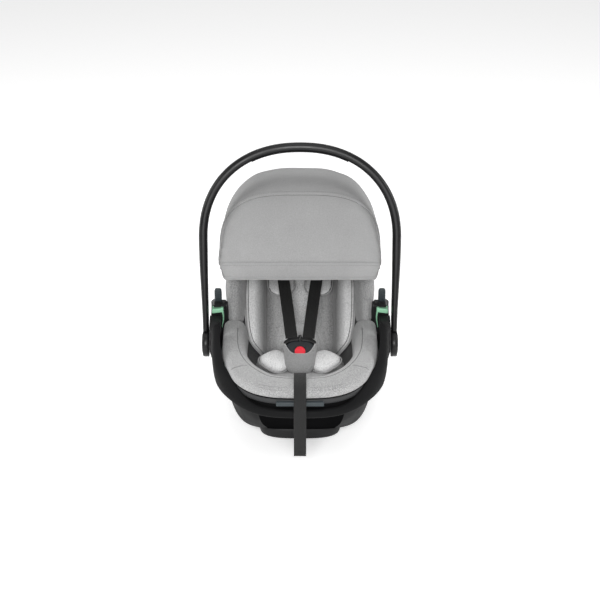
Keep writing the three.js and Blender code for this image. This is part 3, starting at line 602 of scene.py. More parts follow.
# ------------------------------------------------------------------ soft pads
def swell(made, cap, voxel, pins, pin_reach):
    """Blows a closed mesh up as cloth, held along the path pins, and keeps the result.

    cap is how far a point may move and pin_reach how near the path it is held, in millimetres.
    """
    for vertex in made.data.vertices:
        vertex.co -= vertex.normal * MM
    remesh = made.modifiers.new("even", "REMESH")
    remesh.mode = "VOXEL"
    remesh.voxel_size = voxel * MM
    freeze(made)
    rest = [v.co.copy() for v in made.data.vertices]
    group = made.vertex_groups.new(name="held")
    for i, co in enumerate(rest):
        if min((co - p).length for p in pins) < pin_reach * MM:
            group.add([i], 1.0, "REPLACE")
    cloth = made.modifiers.new("cloth", "CLOTH")
    cloth.settings.quality = 5
    cloth.settings.mass = 0.15
    cloth.settings.tension_stiffness = 8
    cloth.settings.compression_stiffness = 8
    cloth.settings.bending_stiffness = 0.4
    cloth.settings.use_pressure = True
    cloth.settings.uniform_pressure_force = 4
    cloth.settings.effector_weights.gravity = 0
    cloth.settings.vertex_group_mass = "held"
    cloth.collision_settings.use_collision = False
    cloth.point_cache.frame_start = 1
    cloth.point_cache.frame_end = 20
    scene = bpy.context.scene
    for number in range(1, 21):
        scene.frame_set(number)
    blown = made.evaluated_get(bpy.context.evaluated_depsgraph_get()).to_mesh()
    moved = [v.co.copy() for v in blown.vertices]
    made.modifiers.remove(cloth)
    scene.frame_set(1)
    for vertex, start, end in zip(made.data.vertices, rest, moved):
        step = end - start
        if step.length > cap * MM:
            step *= cap * MM / step.length
        vertex.co = start + step
    made.vertex_groups.clear()
    relax = made.modifiers.new("relax", "SMOOTH")
    relax.factor = 0.5
    relax.iterations = 2
    subdivide(made, 1)
    return made


def freeze(made):
    """Applies every modifier."""
    look = made.data.materials[0]
    evaluated = made.evaluated_get(bpy.context.evaluated_depsgraph_get())
    mesh = bpy.data.meshes.new_from_object(evaluated)
    made.modifiers.clear()
    old = made.data
    made.data = mesh
    mesh.name = made.name
    bpy.data.meshes.remove(old)
    mesh.materials.clear()
    mesh.materials.append(look)
    mesh.shade_smooth()
    return made


def pillow(name, outline, matrix, over, under, look):
    """A lens-shaped pad: outline(angle) is its seam in the plane of matrix, in millimetres."""
    count = 48
    turns = [2 * math.pi * i / count for i in range(count)]
    rows = []
    for k in range(1, 18):
        share = k / 18
        out = math.sin(math.pi * share) ** 0.8
        high = math.cos(math.pi * share)
        lift = (over if high > 0 else under) * power(high, 0.75)
        ring = []
        for turn in turns:
            x, y = outline(turn)
            ring.append(place(*(matrix @ Vector((x * out, y * out, lift)))))
        rows.append(ring)
    return skin(name, rows, look)


def seam_of(outline, matrix, lift=0.0, grow=0.0):
    """The closed line of a pillow's seam, raised by lift and moved out by grow."""
    path = []
    for i in range(72):
        x, y = outline(2 * math.pi * i / 72)
        size = 1 + grow / max(math.hypot(x, y), 1)
        path.append(place(*(matrix @ Vector((x * size, y * size, lift)))))
    return path


# ------------------------------------------------------------------ the seat's form
def rim_height(y):
    return (
        200
        - 3 * smooth((y + RIM_FRONT) / RIM_FRONT)
        + 108 * smooth(y / 95)
        + 0.41 * max(0, y - 80)
    )


def rim_point(angle, inset, rise=0.0):
    s, c = math.sin(angle), math.cos(angle)
    foot = c > 0
    exponent = 2 / (FOOT_SQUARE if foot else HEAD_SQUARE)
    y = -power(c, exponent) * ((RIM_FRONT if foot else RIM_REAR) - inset)
    half = RIM_HALF - RIM_HEAD_NARROWER * smooth((y + 20) / 90) - inset
    return Vector((half * power(s, exponent), y, rim_height(y) + rise))


def mixed(angle, foot, side, head):
    c = math.cos(angle)
    return (foot if c > 0 else head) * c * c + side * (1 - c * c)


def bezier(a, b, c, d, t):
    s = 1 - t
    return a * s**3 + b * (3 * s * s * t) + c * (3 * s * t * t) + d * t**3


def shell_point(angle, share, inset, lift):
    rim = rim_point(angle, inset)
    foot = math.cos(angle) > 0
    exponent = 2 / (FOOT_SQUARE if foot else HEAD_SQUARE)
    base = Vector((
        (BASE_HALF - inset) * power(math.sin(angle), exponent),
        -((BASE_FRONT if foot else BASE_REAR) - inset) * power(math.cos(angle), exponent),
        lift,
    ))

    def control(out, up):
        return Vector((
            lerp(base.x, rim.x, out),
            lerp(base.y, rim.y, out),
            lerp(base.z, rim.z, up),
        ))

    upper = control(mixed(angle, 1.05, 0.96, 0.86), mixed(angle, 0.66, 0.62, 0.62))
    lower = control(mixed(angle, 0.43, 0.6, 0.45), mixed(angle, 0.33, 0.18, 0.2))
    return bezier(rim, upper, lower, base, share)


def bowl_point(angle, share, inset, drop=0.0):
    rim = rim_point(angle, WALL + 1 + inset)
    squareness = mixed(angle, 1.15, 2.6, 1.06)
    turn = share * math.pi / 2
    out = math.cos(turn) ** (2 / squareness)
    up = 1 - math.sin(turn) ** (2 / squareness)
    pole = Vector(POLE) - Vector((0, 0, drop))
    return Vector((rim.x * out, lerp(pole.y, rim.y, out), lerp(pole.z, rim.z, up)))


BACK_FRAME = Matrix.Translation((0, BACK_Y, BACK_Z)) @ Matrix.Rotation(BACK_ANGLE, 4, "X")
SEAT_FRAME = Matrix.Translation((0, BACK_Y, BACK_Z)) @ Matrix.Rotation(SEAT_ANGLE, 4, "X")


# ------------------------------------------------------------------ shell and base
def dent(angle, share):
    """How far the shell's skin lies inside its plain form, in millimetres."""
    seam = math.exp(-(((abs(angle) - 0.72) / 0.012) ** 2)) * smooth((share - 0.3) / 0.05)
    line = math.exp(-(((share - 0.085) / 0.006) ** 2))
    front = 1 - smooth((abs(angle) - 0.4) / 0.1)
    recess = smooth((share - 0.16) / 0.05) * (1 - smooth((share - 0.8) / 0.08))
    return min(3.4, 1.2 * seam + 0.9 * line + 3.4 * front * recess)


def shell():
    around = 168
    turns = [2 * math.pi * i / around for i in range(around)]
    signed = [t if t <= math.pi else t - 2 * math.pi for t in turns]
    rows = []
    for share in steps(60):
        rows.append([place(*shell_point(a, share, dent(a, share), 0)) for a in signed])
    inside = [
        [place(*shell_point(a, share, WALL, WALL)) for a in signed] for share in steps(16)
    ]
    # The lower shell's plastic is a darker copy, painted shade.
    made = skin("shell", rows[::-1] + inside, "lower_plastic_painted_shade")
    # Faces of the front recess get the darkest copy, painted shade.
    made.data.materials.append(MATERIALS["recess_plastic_painted_shade"])
    for row in range(59):
        share = 1 - (row + 0.5) / 59
        for i, angle in enumerate(signed):
            if abs(angle) < 0.44 and 0.17 < share < 0.88:
                made.data.polygons[row * around + i].material_index = 1
    cut = made.modifiers.new("edges", "BEVEL")
    cut.width = 0.8 * MM
    cut.limit_method = "ANGLE"
    cut.angle_limit = math.radians(50)
    finish_piece(made, "root", "shell_plastic", "outer_shell")


def rim_trim():
    """The lip that holds the cover's edge, all round under the rolls."""
    path = []
    for i in range(144):
        angle = 2 * math.pi * i / 144
        path.append(place(*rim_point(angle, 0, -6)))

    section = [(-2.6, -5.5), (-3.4, -3), (-3.4, 3), (-2.6, 5.6), (0.2, 6.2), (1.0, 0), (0.6, -6)]
    made = sweep("rim_trim", path, "trim_plastic", inward_of, lambda _s: section, loop=True)
    subdivide(made)
    finish_piece(made, "root", "shell_plastic")


def bumper_band():
    """The wide ledge round the foot end; at the sides it closes up to the rim."""
    reach = 1.49
    path = []
    for t in steps(121, 2 * reach):
        angle = t - reach
        away = smooth((abs(angle) - 0.5) / 0.8)
        spot = rim_point(angle, 6 - 16.5 - 5 * away)
        up = 171 + 0.09 * (spot.y + 335) + 30 * smooth((abs(angle) - 1.08) / 0.4)
        path.append(place(spot.x, spot.y, up))

    def section(share):
        angle = abs(share - 0.5) * 2 * reach
        away = smooth((angle - 0.5) / 0.8)
        wide = 6 + 5 * away
        rise = 22 * smooth((angle - 0.3) / 0.75)
        drop = 9 + 16 * smooth((angle - 0.7) / 0.7)
        tuck = 22 * (1 - smooth((angle - 0.5) / 0.7))
        inner = wide + 3 - 6.5 * smooth((angle - 0.95) / 0.3)
        return [
            (-wide, -drop * 0.35), (-wide + 1.2, -drop * 0.75), (-wide + 4, -drop * 0.98),
            (wide, -drop), (inner + tuck * 0.5, -drop * 0.7), (inner + tuck, -4),
            (inner + tuck, 3), (inner + tuck * 0.4, 5 + rise * 0.8), (inner - 1, 7 + rise),
            (wide - 2, 9 + rise), (-wide + 7, 9 + rise * 0.62), (-wide + 3, 8 + rise * 0.36),
            (-wide + 0.6, 5 + rise * 0.14), (-wide, 2),
        ]

    # The band's plastic is a darker copy, painted shade.
    made = sweep("bumper_band", path, "lower_plastic_painted_shade", inward_of, section)
    subdivide(made)
    finish_piece(made, "root", "shell_plastic", "bumper_band")


def base_foot():
    def plan(grow):
        out = []
        for i in range(64):
            turn = 2 * math.pi * i / 64
            x = (88 - grow) * power(math.sin(turn), 2 / 3)
            y = -72 - (59 - grow) * power(math.cos(turn), 2 / 3)
            out.append((x, max(y, -131)))
        return out

    rows = []
    for grow, z in [(4, 0), (1, 1.5), (0, 5), (0, 20), (1.2, 24), (4, 26), (12, 27)]:
        rows.append([place(x, y, z) for x, y in plan(grow)])
    made = skin("base_foot", rows, "shell_plastic")
    finish_piece(made, "root", "shell_plastic", "base_foot")
    for hand in (-1, 1):
        ear = [(84, -92), (92, -104), (90, -118), (80, -121), (74, -108), (76, -94)]
        ear = [(hand * x, y) for x, y in ear]
        piece = slab(f"foot_ear_{'right' if hand < 0 else 'left'}", ear, 22, 33, Matrix(), "shell_plastic", 2)
        finish_piece(piece, "root", "shell_plastic")


# ------------------------------------------------------------------ hubs
SIDE_FRAME = Matrix(((0, 0, 1, 0), (1, 0, 0, 0), (0, 1, 0, 0), (0, 0, 0, 1)))


def rounded_outline(points, radius):
    """An outline in which each corner is an arc as far as its sides allow."""
    out = []
    total = len(points)
    for i, here in enumerate(points):
        here = Vector(here)
        before, after = Vector(points[i - 1]), Vector(points[(i + 1) % total])
        cut = min(radius, (before - here).length * 0.45, (after - here).length * 0.45)
        a = here + (before - here).normalized() * cut
        b = here + (after - here).normalized() * cut
        for t in steps(5):
            out.append(tuple(a * (1 - t) ** 2 + here * (2 * t * (1 - t)) + b * t * t))
    return out


def hub_housings():
    side = [
        (-57, 226), (-34, 236), (-10, 239), (-8, 236), (-8, 207), (-3, 202), (4, 203),
        (7, 208), (7, 258), (-11, 258.5), (-12, 260), (-7, 261.5), (6, 262.5), (38, 257),
        (46, 248), (48, 180), (38, 132), (22, 112), (-62, 112), (-74, 135), (-74, 194),
        (-60, 206),
    ]
    outline = rounded_outline(side, 7)
    made = slab("hub_housing_left", outline, 171, 194.5, SIDE_FRAME, "shell_plastic", 3.2, 4)
    plate = [
        (-2, 190), (-2, 255), (-8, 259), (6, 261), (38, 255), (46, 246), (48, 180), (38, 132),
        (22, 112), (-62, 112), (-74, 135), (-74, 190),
    ]
    inner = slab("hub_plate_left", rounded_outline(plate, 6), 162, 172, SIDE_FRAME, "shell_plastic", 1.6)
    lean = math.tan(math.radians(19))
    for piece in (made, inner):
        for vertex in piece.data.vertices:
            x, z = vertex.co.x / MM, vertex.co.z / MM
            if x > 190 and z < 176:
                vertex.co.x -= (176 - z) * lean * MM
            if z < 160 and x < 190:
                vertex.co.x -= 12 * smooth((160 - z) / 40) * MM
            if z > 246 and x > 180:
                vertex.co.x -= 9 * smooth((x - 180) / 10) * smooth((z - 246) / 14) * MM
    both(made, "hub_housing", "root", "shell_plastic", "hub_housing")
    both(inner, "hub_plate", "root", "shell_plastic")
    strut = [(10, 196), (10, 252), (16, 258), (30, 256), (34, 246), (34, 196)]
    web = slab("hub_web_left", rounded_outline(strut, 4), 150, 163, SIDE_FRAME, "shell_plastic", 1.6)
    for vertex in web.data.vertices:
        if vertex.co.z / MM > 230 and vertex.co.x / MM < 157:
            vertex.co.x += 7 * MM
    both(web, "hub_web", "root", "shell_plastic")
    arm = [(-66, 182), (-68, 192), (-54, 214), (-30, 224), (-16, 226), (-12, 216), (-12, 182)]
    rib = slab("hub_panel_left", rounded_outline(arm, 12), 194.2, 195.3, SIDE_FRAME, "gloss_black", 0.5)
    both(rib, "hub_panel", "root", "shell_plastic")


def belt_guides():
    bar = rounded_outline([(-14, 247.4), (-14, 257.7), (6.4, 257.7), (6.4, 247.4)], 3)
    hook = slab("belt_guide_left", bar, 165.4, 190, SIDE_FRAME, "mint_plastic", 2)
    for vertex in hook.data.vertices:
        vertex.co.z -= 3.6 * MM * smooth((vertex.co.x / MM - 160) / 34)
    path = []
    for t in steps(8):
        bow = 2.6 * math.sin(math.pi * min(1, t * 1.1)) - 1.4 * t
        path.append(Vector((167.6 - bow, -11.5 + 2 * t, lerp(253, 209, t))))

    def section(share):
        wide, deep = lerp(4, 2.2, smooth(share)), lerp(2.3, 0.9, share)
        return [(deep * math.cos(t), wide * math.sin(t)) for t in [math.pi * k / 6 for k in range(12)]]

    path = [place(*p) for p in path]
    tail = sweep("belt_guide_tail_left", path, "mint_plastic", lambda _t, _s: Vector((1, 0, 0)), section)
    subdivide(tail)
    both(hook, "belt_guide", "root", "mint_plastic", "belt_guide")
    both(tail, "belt_guide_tail", "root", "mint_plastic")


def release_levers():
    plan = rounded_outline([(169.5, 14), (169.5, 22), (185.5, 22), (185.5, 14)], 3.4)
    rows = []
    for z, shrink in [(228, 0), (282, 0), (286, 0.4), (288.6, 1.4), (289.7, 2.8), (290, 4.4)]:
        row = []
        for x, y in plan:
            row.append(place(177.5 + (x - 177.5) * (1 - shrink / 8), 18 + (y - 18) * (1 - shrink / 8), z))
        rows.append(row)
    made = skin("release_lever_left", rows, "slate_plastic")
    both(made, "release_lever", "release_lever", "slate_plastic", "release_lever")
    for k in range(3):
        z = 270 + 5 * k
        rib = [(171.5, z), (171.5, z + 1.6), (183.5, z + 1.6), (183.5, z)]
        front = Matrix(((1, 0, 0, 0), (0, 0, -1, 0), (0, 1, 0, 0), (0, 0, 0, 1)))
        piece = slab(f"lever_rib_{k}_left", rib, -14.2, -13.2, front, "slate_plastic", 0.4)
        both(piece, f"lever_rib_{k}", "release_lever", "slate_plastic")


# ------------------------------------------------------------------ handle
HANDLE_FRAME = Matrix.Translation((0, PIVOT_Y, PIVOT_Z)) @ Matrix.Rotation(-HANDLE_LEAN, 4, "X")


def arch(count, start=0.0, end=1.0):
    """The arch's centre line as frame points."""
    leg = []
    for t in steps(5):
        half = lerp(HANDLE_FOOT_HALF, HANDLE_HALF, smooth(t))
        leg.append(Vector((half, 0, t * HANDLE_STRAIGHT)))
    bow = []
    rise = HANDLE_REACH - HANDLE_STRAIGHT
    for t in steps(41)[1:-1]:
        turn = t * math.pi
        exponent = 2 / HANDLE_SQUARE
        x = HANDLE_HALF * power(math.cos(turn), exponent)
        bow.append(Vector((x, 0, HANDLE_STRAIGHT + rise * math.sin(turn) ** exponent)))
    other = [Vector((-p.x, 0, p.z)) for p in reversed(leg)]
    line = curve_through(leg + bow + other, 601)
    part = line[int(600 * start): int(600 * end) + 1]
    return respaced([place(*(HANDLE_FRAME @ p)) for p in part], count)


def handle_side(tangent, _share):
    depth = (HANDLE_FRAME.to_3x3() @ Vector((0, 1, 0))).normalized()
    return depth.cross(tangent)


def disc(name, profile, look):
    """A turned piece about the handle's axis: profile is (distance along +X, radius)."""
    rows = []
    for x, radius in profile:
        row = []
        for i in range(64):
            turn = 2 * math.pi * i / 64
            row.append(place(x, PIVOT_Y + radius * math.cos(turn), PIVOT_Z + radius * math.sin(turn)))
        rows.append(row)
    return skin(name, rows, look)


def handle():
    def section(share):
        leg = smooth(min(share, 1 - share) / 0.197)
        half, deep, notch = lerp(6.6, 9.5, leg), 16, 0.7
        quarter = []
        for t in steps(9):
            turn = t * math.pi / 2
            quarter.append((half * math.cos(turn) ** 0.72, deep * math.sin(turn) ** 0.72))
        quarter[0] = (half - notch, 0)
        quarter.insert(1, (half, 0.9))
        upper = quarter + [(-a, b) for a, b in reversed(quarter[1:])]
        upper.pop(len(quarter) - 1)
        lower = [(-a, -b) for a, b in upper]
        return upper + lower

    # The arch ends inside the hub discs' walls, clear of the buttons.
    pivot = place(0, PIVOT_Y, PIVOT_Z)
    path = [p for p in arch(1200) if math.hypot(p.y - pivot.y, p.z - pivot.z) > 24.2 * MM]
    made = sweep("handle_arch", respaced(path, 140), "handle_plastic", handle_side, section)
    subdivide(made)
    finish_piece(made, "handle", "handle_plastic", "handle_frame")
    hub = [
        (196, 20), (196, 28), (197, 29), (206.6, 29), (208.8, 28), (209.5, 26.6), (209.5, 24.4),
        (208.5, 23.6), (197.6, 23.6), (197.4, 8),
    ]
    both(disc("handle_hub_left", hub, "handle_plastic"), "handle_hub", "handle", "handle_plastic")
    button = [
        (205.6, 3), (205.6, 22), (209.2, 22.4), (210.5, 21.2), (211.2, 18.4), (211.4, 14),
        (210.9, 12.5), (210.9, 3), (210.9, 0.5),
    ]
    piece = disc("handle_button_left", button, "gloss_black")
    both(piece, "handle_button", "handle_button", "slate_plastic", "handle_button")

    pad = [
        (-8.5, -14), (-9.9, -12), (-10.9, -9), (-11.1, 0), (-10.9, 9), (-9.9, 12), (-8.5, 14),
        (-7.5, 8), (-7.5, -8),
    ]
    grip = sweep("handle_grip", arch(90, 0.4, 0.6), "grip_rubber", handle_side, lambda _s: pad)
    subdivide(grip)
    finish_piece(grip, "handle", "grip_rubber", "handle_grip")


# ------------------------------------------------------------------ canopy
def hoop_point(hoop, turn, grow=0.0):
    angle, reach, half, square = hoop
    exponent = 2 / square
    r = (reach + grow) * max(0.0, math.sin(turn)) ** exponent
    return Vector((
        (half + grow) * power(math.cos(turn), exponent),
        CANOPY_Y - r * math.cos(angle),
        CANOPY_Z + r * math.sin(angle),
    ))


def between(a, b, t):
    return tuple(lerp(x, y, t) for x, y in zip(a, b))


def canopy_surface(first, second, t, turn):
    """A point of the cloth between two hoops; the cloth hangs in a little between them."""
    middle = math.sin(math.pi * t)
    high = math.sin(turn)
    sag = 1.6 * middle * high
    sag += 0.7 * middle * math.cos((turn - math.pi / 2) * 9 + 2.4 * t) * (1 - 0.6 * high)
    near_foot = (1 - high) ** 2
    sag += 3.0 * near_foot * middle * math.sin(9 * math.pi * t + 1.5 * turn)
    for fold, deep in ((1.2, 0.8), (1.42, -0.6), (1.82, 0.7), (2.02, -0.5)):
        sag += deep * middle * math.exp(-(((turn - fold) / 0.07) ** 2))
    spot = hoop_point(between(first, second, t), turn, 4.2 - sag)
    ripple = noise.noise(spot * 0.02) * 0.7 * middle
    return hoop_point(between(first, second, t), turn, 4.2 - sag + ripple)


def turns_of(count, ends=0.016):
    return [math.pi * (ends + (1 - 2 * ends) * t) for t in steps(count)]


def grid_area(made):
    return sum(p.area for p in made.data.polygons)


def canopy():
    rear = skin(
        "canopy_rear_panel",
        [
            [place(*canopy_surface(REAR_SEAM, MID_HOOP, t, turn)) for turn in turns_of(121)]
            for t in steps(45)
        ],
        "canopy_fabric",
        closed=False,
    )
    front = skin(
        "canopy_front_panel",
        [
            [place(*canopy_surface(MID_HOOP, FRONT_HOOP, t, turn)) for turn in turns_of(121)]
            for t in steps(33)
        ],
        "canopy_fabric",
        closed=False,
    )
    panels = (
        (rear, "canopy_rear_panel", (0.56, 0.32)),
        (front, "canopy_front_panel", (0.6, 0.19)),
    )
    for made, node, size in panels:
        size = fitted(size, grid_area(made))
        thicken(made, 1.3)
        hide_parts(node)
    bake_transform(rear)
    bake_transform(front)

    def channel(name, hoop, body, width, proud):
        """The sleeve that a hoop runs in: a strip over the cloth with a row of stitches each side."""
        angle, reach, *rest = hoop
        spread = width / reach
        rows = []
        for t in steps(9):
            lean = (t - 0.5) * spread
            lift = proud * math.sin(math.pi * t) ** 0.6
            turned = (angle + lean, reach, *rest)
            rows.append([place(*hoop_point(turned, turn, 4.3 + lift)) for turn in turns_of(121, 0.02)])
        strip = thicken(skin(name, rows, "canopy_fabric", closed=False), 0.9)
        finish_piece(strip, body, "canopy_fabric")
        for side in (-1, 1):
            turned = (angle + side * spread * 0.36, reach, *rest)
            row = [place(*hoop_point(turned, turn, 5.0 + proud * 0.75)) for turn in turns_of(241, 0.04)]
            thread = stitches(f"{name}_stitches_{'a' if side < 0 else 'b'}", row, "thread", 3.2, 1.6, 0.3)
            finish_piece(thread, body, "canopy_fabric")
            turned = (angle + side * spread * 0.5, reach, *rest)
            row = [place(*hoop_point(turned, turn, 4.5)) for turn in turns_of(161, 0.03)]
            # Painted shadow: a dark cord along each edge of the strip, for the shade in the seam.
            groove = cord_line(f"{name}_seam_{'a' if side < 0 else 'b'}", row, 0.8, "seam_shadow", sides=6)
            finish_piece(groove, body, "canopy_fabric")

    channel("mid_hoop_channel", MID_HOOP, "canopy_mid", 11, 1.3)

    rows = []
    for t in steps(19):
        row = []
        for turn in turns_of(121):
            high = math.sin(turn)
            drop = HEM_DROP * smooth((min(turn, math.pi - turn) - 0.05) / 0.5)
            spot = hoop_point(FRONT_HOOP, turn, 4.4)
            curl = 3.0 * math.sin(min(1, t * 4) * math.pi / 2)
            spot.y -= curl * high * 0.8
            spot.z += 2.2 * (1 - min(1, t * 4)) ** 2 - drop * t + 1.4
            spot.y += 2.5 * t * high + 0.8 * math.sin(11 * turn) * t * high
            spot.x *= 1 - 0.022 * smooth(t) * (1 - high) * 2
            row.append(place(*spot))
        rows.append(row)
    hem = thicken(skin("canopy_hem", rows, "canopy_fabric", closed=False), 1.6)
    finish_piece(hem, "canopy_front", "canopy_fabric", "canopy_hem")
    for at, tag in ((0.13, "upper"), (0.86, "lower")):
        row = [Vector(p) for p in rows[round(at * 18)]]
        row = [p + Vector((0, -0.9, 0.1)) * MM for p in row[6:-6]]
        thread = stitches(f"hem_stitches_{tag}", row, "thread", 3.2, 1.6, 0.28)
        finish_piece(thread, "canopy_front", "canopy_fabric")
    edge = cord_line("hem_piping", [Vector(p) for p in rows[-1]][2:-2], 1.3, "canopy_fabric")
    finish_piece(edge, "canopy_front", "canopy_fabric")

    cap = [
        (160.5, 2), (160.5, 10.5), (162, 11.6), (173, 11.6), (175, 10.6), (176, 8.6), (176, 4),
        (175.4, 1),
    ]
    rows = []
    for x, radius in cap:
        rows.append([place(x, CANOPY_Y + y, CANOPY_Z + z) for y, z in circle(radius, 40)])
    pivot = skin("canopy_pivot_left", rows, "shell_plastic")
    both(pivot, "canopy_pivot", "root", "shell_plastic", "canopy_pivot")


def fitted(size, area):
    """The flat size, kept in shape and made just large enough for the cloth's area."""
    scale = math.sqrt(max(1.0, area * 1.005 / (size[0] * size[1])))
    return size[0] * scale, size[1] * scale


# ------------------------------------------------------------------ covers
def roll_profile(width, outer, height, skirt):
    """A padded roll's section; (inward, up) from the rim. It has a sewn seam along its top,
    and inside the seam the cloth falls into the seat as far as skirt.
    """
    return [
        (outer + 1, 0.5), (outer - 0.6, 5), (outer - 0.5, 13), (outer + 3, 19), (outer + 9, 22.6),
        (lerp(outer, width, 0.36), height), (width * 0.57, height * 0.985),
        (width * 0.66, height * 0.9), (width * 0.73, height * 0.92),
        (width * 0.9, height * 0.72), (width + 1, height * 0.3), (width + 5, -skirt * 0.3),
        (width + 6, -skirt * 0.8), (width + 4, -skirt), (width - 2, -skirt),
        (width - 8, -skirt * 0.5), (width - 12, 0.5), (width * 0.45, 0.5),
    ]


def puff(share, count, depth):
    """Slow unevenness of a filled roll along its length."""
    return depth * (math.sin(share * count * 2 * math.pi + 0.6) + 0.5 * math.sin(share * count * 5.1 + 2))


def roll(name, start, end, width_of, outer_of, lift_of, skirt_of):
    """A padded roll along the rim; returns ways to take lines along and across its skin."""
    path = []
    for t in steps(121):
        spot = rim_point(start + (end - start) * t, 0)
        spot.z += lift_of(spot.y)
        path.append(place(*spot))

    def section(share):
        height = 24.0 + puff(share, 5, 0.25)
        return roll_profile(width_of(share), outer_of(share), height, skirt_of(share))

    made = sweep(name, path, "cover_fabric", inward_of, section)
    subdivide(made, 2)
    finish_piece(made, "root", "cover_fabric", name)
    per = len(section(0.5))
    points = [v.co.copy() for v in made.data.vertices]

    def line(column, first, last, lift):
        return [points[r * per + column] + Vector((0, 0, lift)) * MM for r in range(first, last)]

    def across(row, first, last):
        return points[row * per + first: row * per + last]

    return line, across


COVER_END = 1.591  # where the seat cover meets the head cover, as an angle round the rim


def covers():
    def far(share):
        return abs(share - 0.5) * 2

    def foot_width(share):
        return lerp(44, 72, 1 - smooth((far(share) - 0.35) * 1.8))

    line, across = roll(
        "seat_cover", -COVER_END, COVER_END, foot_width,
        lambda s: -3.5 + 1.5 * smooth((far(s) - 0.82) / 0.1), lambda y: 0.0,
        lambda s: lerp(16, 40, smooth(far(s) * 1.5 - 0.3)),
    )
    # Painted shadow: a dark cord along the seam, for the shade in its groove.
    groove = cord_line("seat_cover_seam", line(7, 2, 119, 0.2), 0.75, "seam_shadow")
    finish_piece(groove, "root", "cover_fabric")
    thread = stitches("seat_cover_seam_stitches", line(7, 4, 117, 0.7), "thread", 3.4, 1.6, 0.35)
    finish_piece(thread, "root", "cover_fabric")
    for row, hand in ((25, "right"), (95, "left")):
        # Painted shadow: a dark cord for the shade in each cross seam.
        groove = cord_line(f"seat_cover_cross_seam_{hand}", across(row, 3, 7), 0.4, "seam_shadow")
        finish_piece(groove, "root", "cover_fabric")
    for column, tag in ((3, "outer"), (4, "inner")):
        for first, last, hand in ((44, 59, "right"), (62, 77, "left")):
            row = line(column, first, last, 0.3)
            thread = stitches(f"seat_cover_topstitch_{tag}_{hand}", row, "thread", 3.2, 1.8, 0.32)
            finish_piece(thread, "root", "cover_fabric")

    def lift(y):
        return 13 * smooth((y - 13) / 32) * smooth((130 - y) / 50)

    start = COVER_END + 0.003
    line, _across = roll(
        "head_cover", start, 2 * math.pi - start,
        lambda s: lerp(20, 30.5, smooth(far(s) / 0.45)),
        lambda s: -3 - 2 * smooth((far(s) - 0.3) / 0.3) + 11 * smooth((far(s) - 0.945) / 0.055), lift,
        lambda s: lerp(4, 30, smooth(far(s) * 2.2 - 1)),
    )
    thread = stitches("head_cover_seam_stitches", line(7, 3, 118, 0.4), "thread", 3.4, 1.6, 0.35)
    finish_piece(thread, "root", "cover_fabric")


def lining():
    """The cover's inner cloth, laid over the foam."""
    around = 144
    rows = []
    for share in steps(40, 0.86):
        row = []
        for i in range(around + 1):
            angle = 2 * math.pi * i / around
            middle = smooth(share * 3) * (1 - smooth((share - 0.5) * 2))
            crease = 1.2 * math.sin(angle * 14 + 3 * share) * middle
            spot = bowl_point(angle, share, LINER + 4.6 + crease, -4.6 - crease)
            if share < 0.02:
                spot.z += 2
            row.append(place(*spot))
        rows.append(row)
    # The lining's near-black colour is painted shade.
    made = skin("cover_lining", rows, "lining_fabric_painted_shade", closed=False)
    finish_piece(made, "root", "cover_fabric")
    thicken(made, 1.0, 1.0)


def back_pad():
    """The insert's back, with a tapering middle panel set off by a soft groove each side."""
    rows = []
    for t in [lerp(-16, 238, k) for k in steps(42)]:
        close = min(1.0, math.sqrt((t + 18) / 24)) * min(1.0, math.sqrt((240 - t) / 16))
        groove = lerp(62, 44, smooth((t - 10) / 110))
        row = []
        for x in [lerp(-86, 86, k) for k in steps(61)]:
            near = math.exp(-(((abs(x) - groove) / 3.5) ** 2))
            crown = 4 * max(0.0, 1 - (x / groove) ** 2)
            edge = math.sqrt(max(0.0, 1 - (x / 88) ** 8))
            row.append(place(*(BACK_FRAME @ Vector((x, t, -8 + (13 + crown - 3.4 * near) * close * edge)))))
        for x in (86, 40, 0, -40, -86):
            row.append(place(*(BACK_FRAME @ Vector((x * 0.97, t, -14)))))
        rows.append(row)
    # The back pad's colour carries painted shade towards the bolsters.
    made = skin("back_pad", rows, "back_fabric_painted_shade")
    finish_piece(made, "root", "cover_fabric", "back_pad")
    line = []
    for t in [lerp(2, 224, k) for k in steps(60)]:
        groove = lerp(62, 44, smooth((t - 10) / 110))
        line.append(place(*(BACK_FRAME @ Vector((groove, t, 1.6)))))
    both(stitches("back_pad_stitches_left", line), "back_pad_stitches", "root", "cover_fabric")


def seat_pad():
    rows = []
    for t in [lerp(4, -238, k) for k in steps(36)]:
        close = min(1.0, math.sqrt((t + 240) / 20)) * min(1.0, math.sqrt((6 - t) / 10))
        half = lerp(98, 78, smooth((-t - 120) / 118))
        row = []
        for share in [lerp(-1, 1, k) for k in steps(41)]:
            edge = math.sqrt(max(0.0, 1 - share**8))
            rise = 2.4 * (1 - share**2) + 0.8 * math.sin(t * 0.09) * (1 - abs(share))
            row.append(place(*(SEAT_FRAME @ Vector((half * share, t, -14 + (13 + rise) * close * edge)))))
        for share in (1, 0.5, 0, -0.5, -1):
            row.append(place(*(SEAT_FRAME @ Vector((half * share * 0.97, t, -20)))))
        rows.append(row)
    made = skin("seat_pad", rows, "cover_fabric")
    finish_piece(made, "root", "cover_fabric", "seat_pad")


def bolster_outer(t):
    """Half width to the bolster's outer edge, t millimetres up the back."""
    return 121.5 - 38 * math.exp(-(t + 9) / 30) - 4 * smooth((t - 150) / 50)


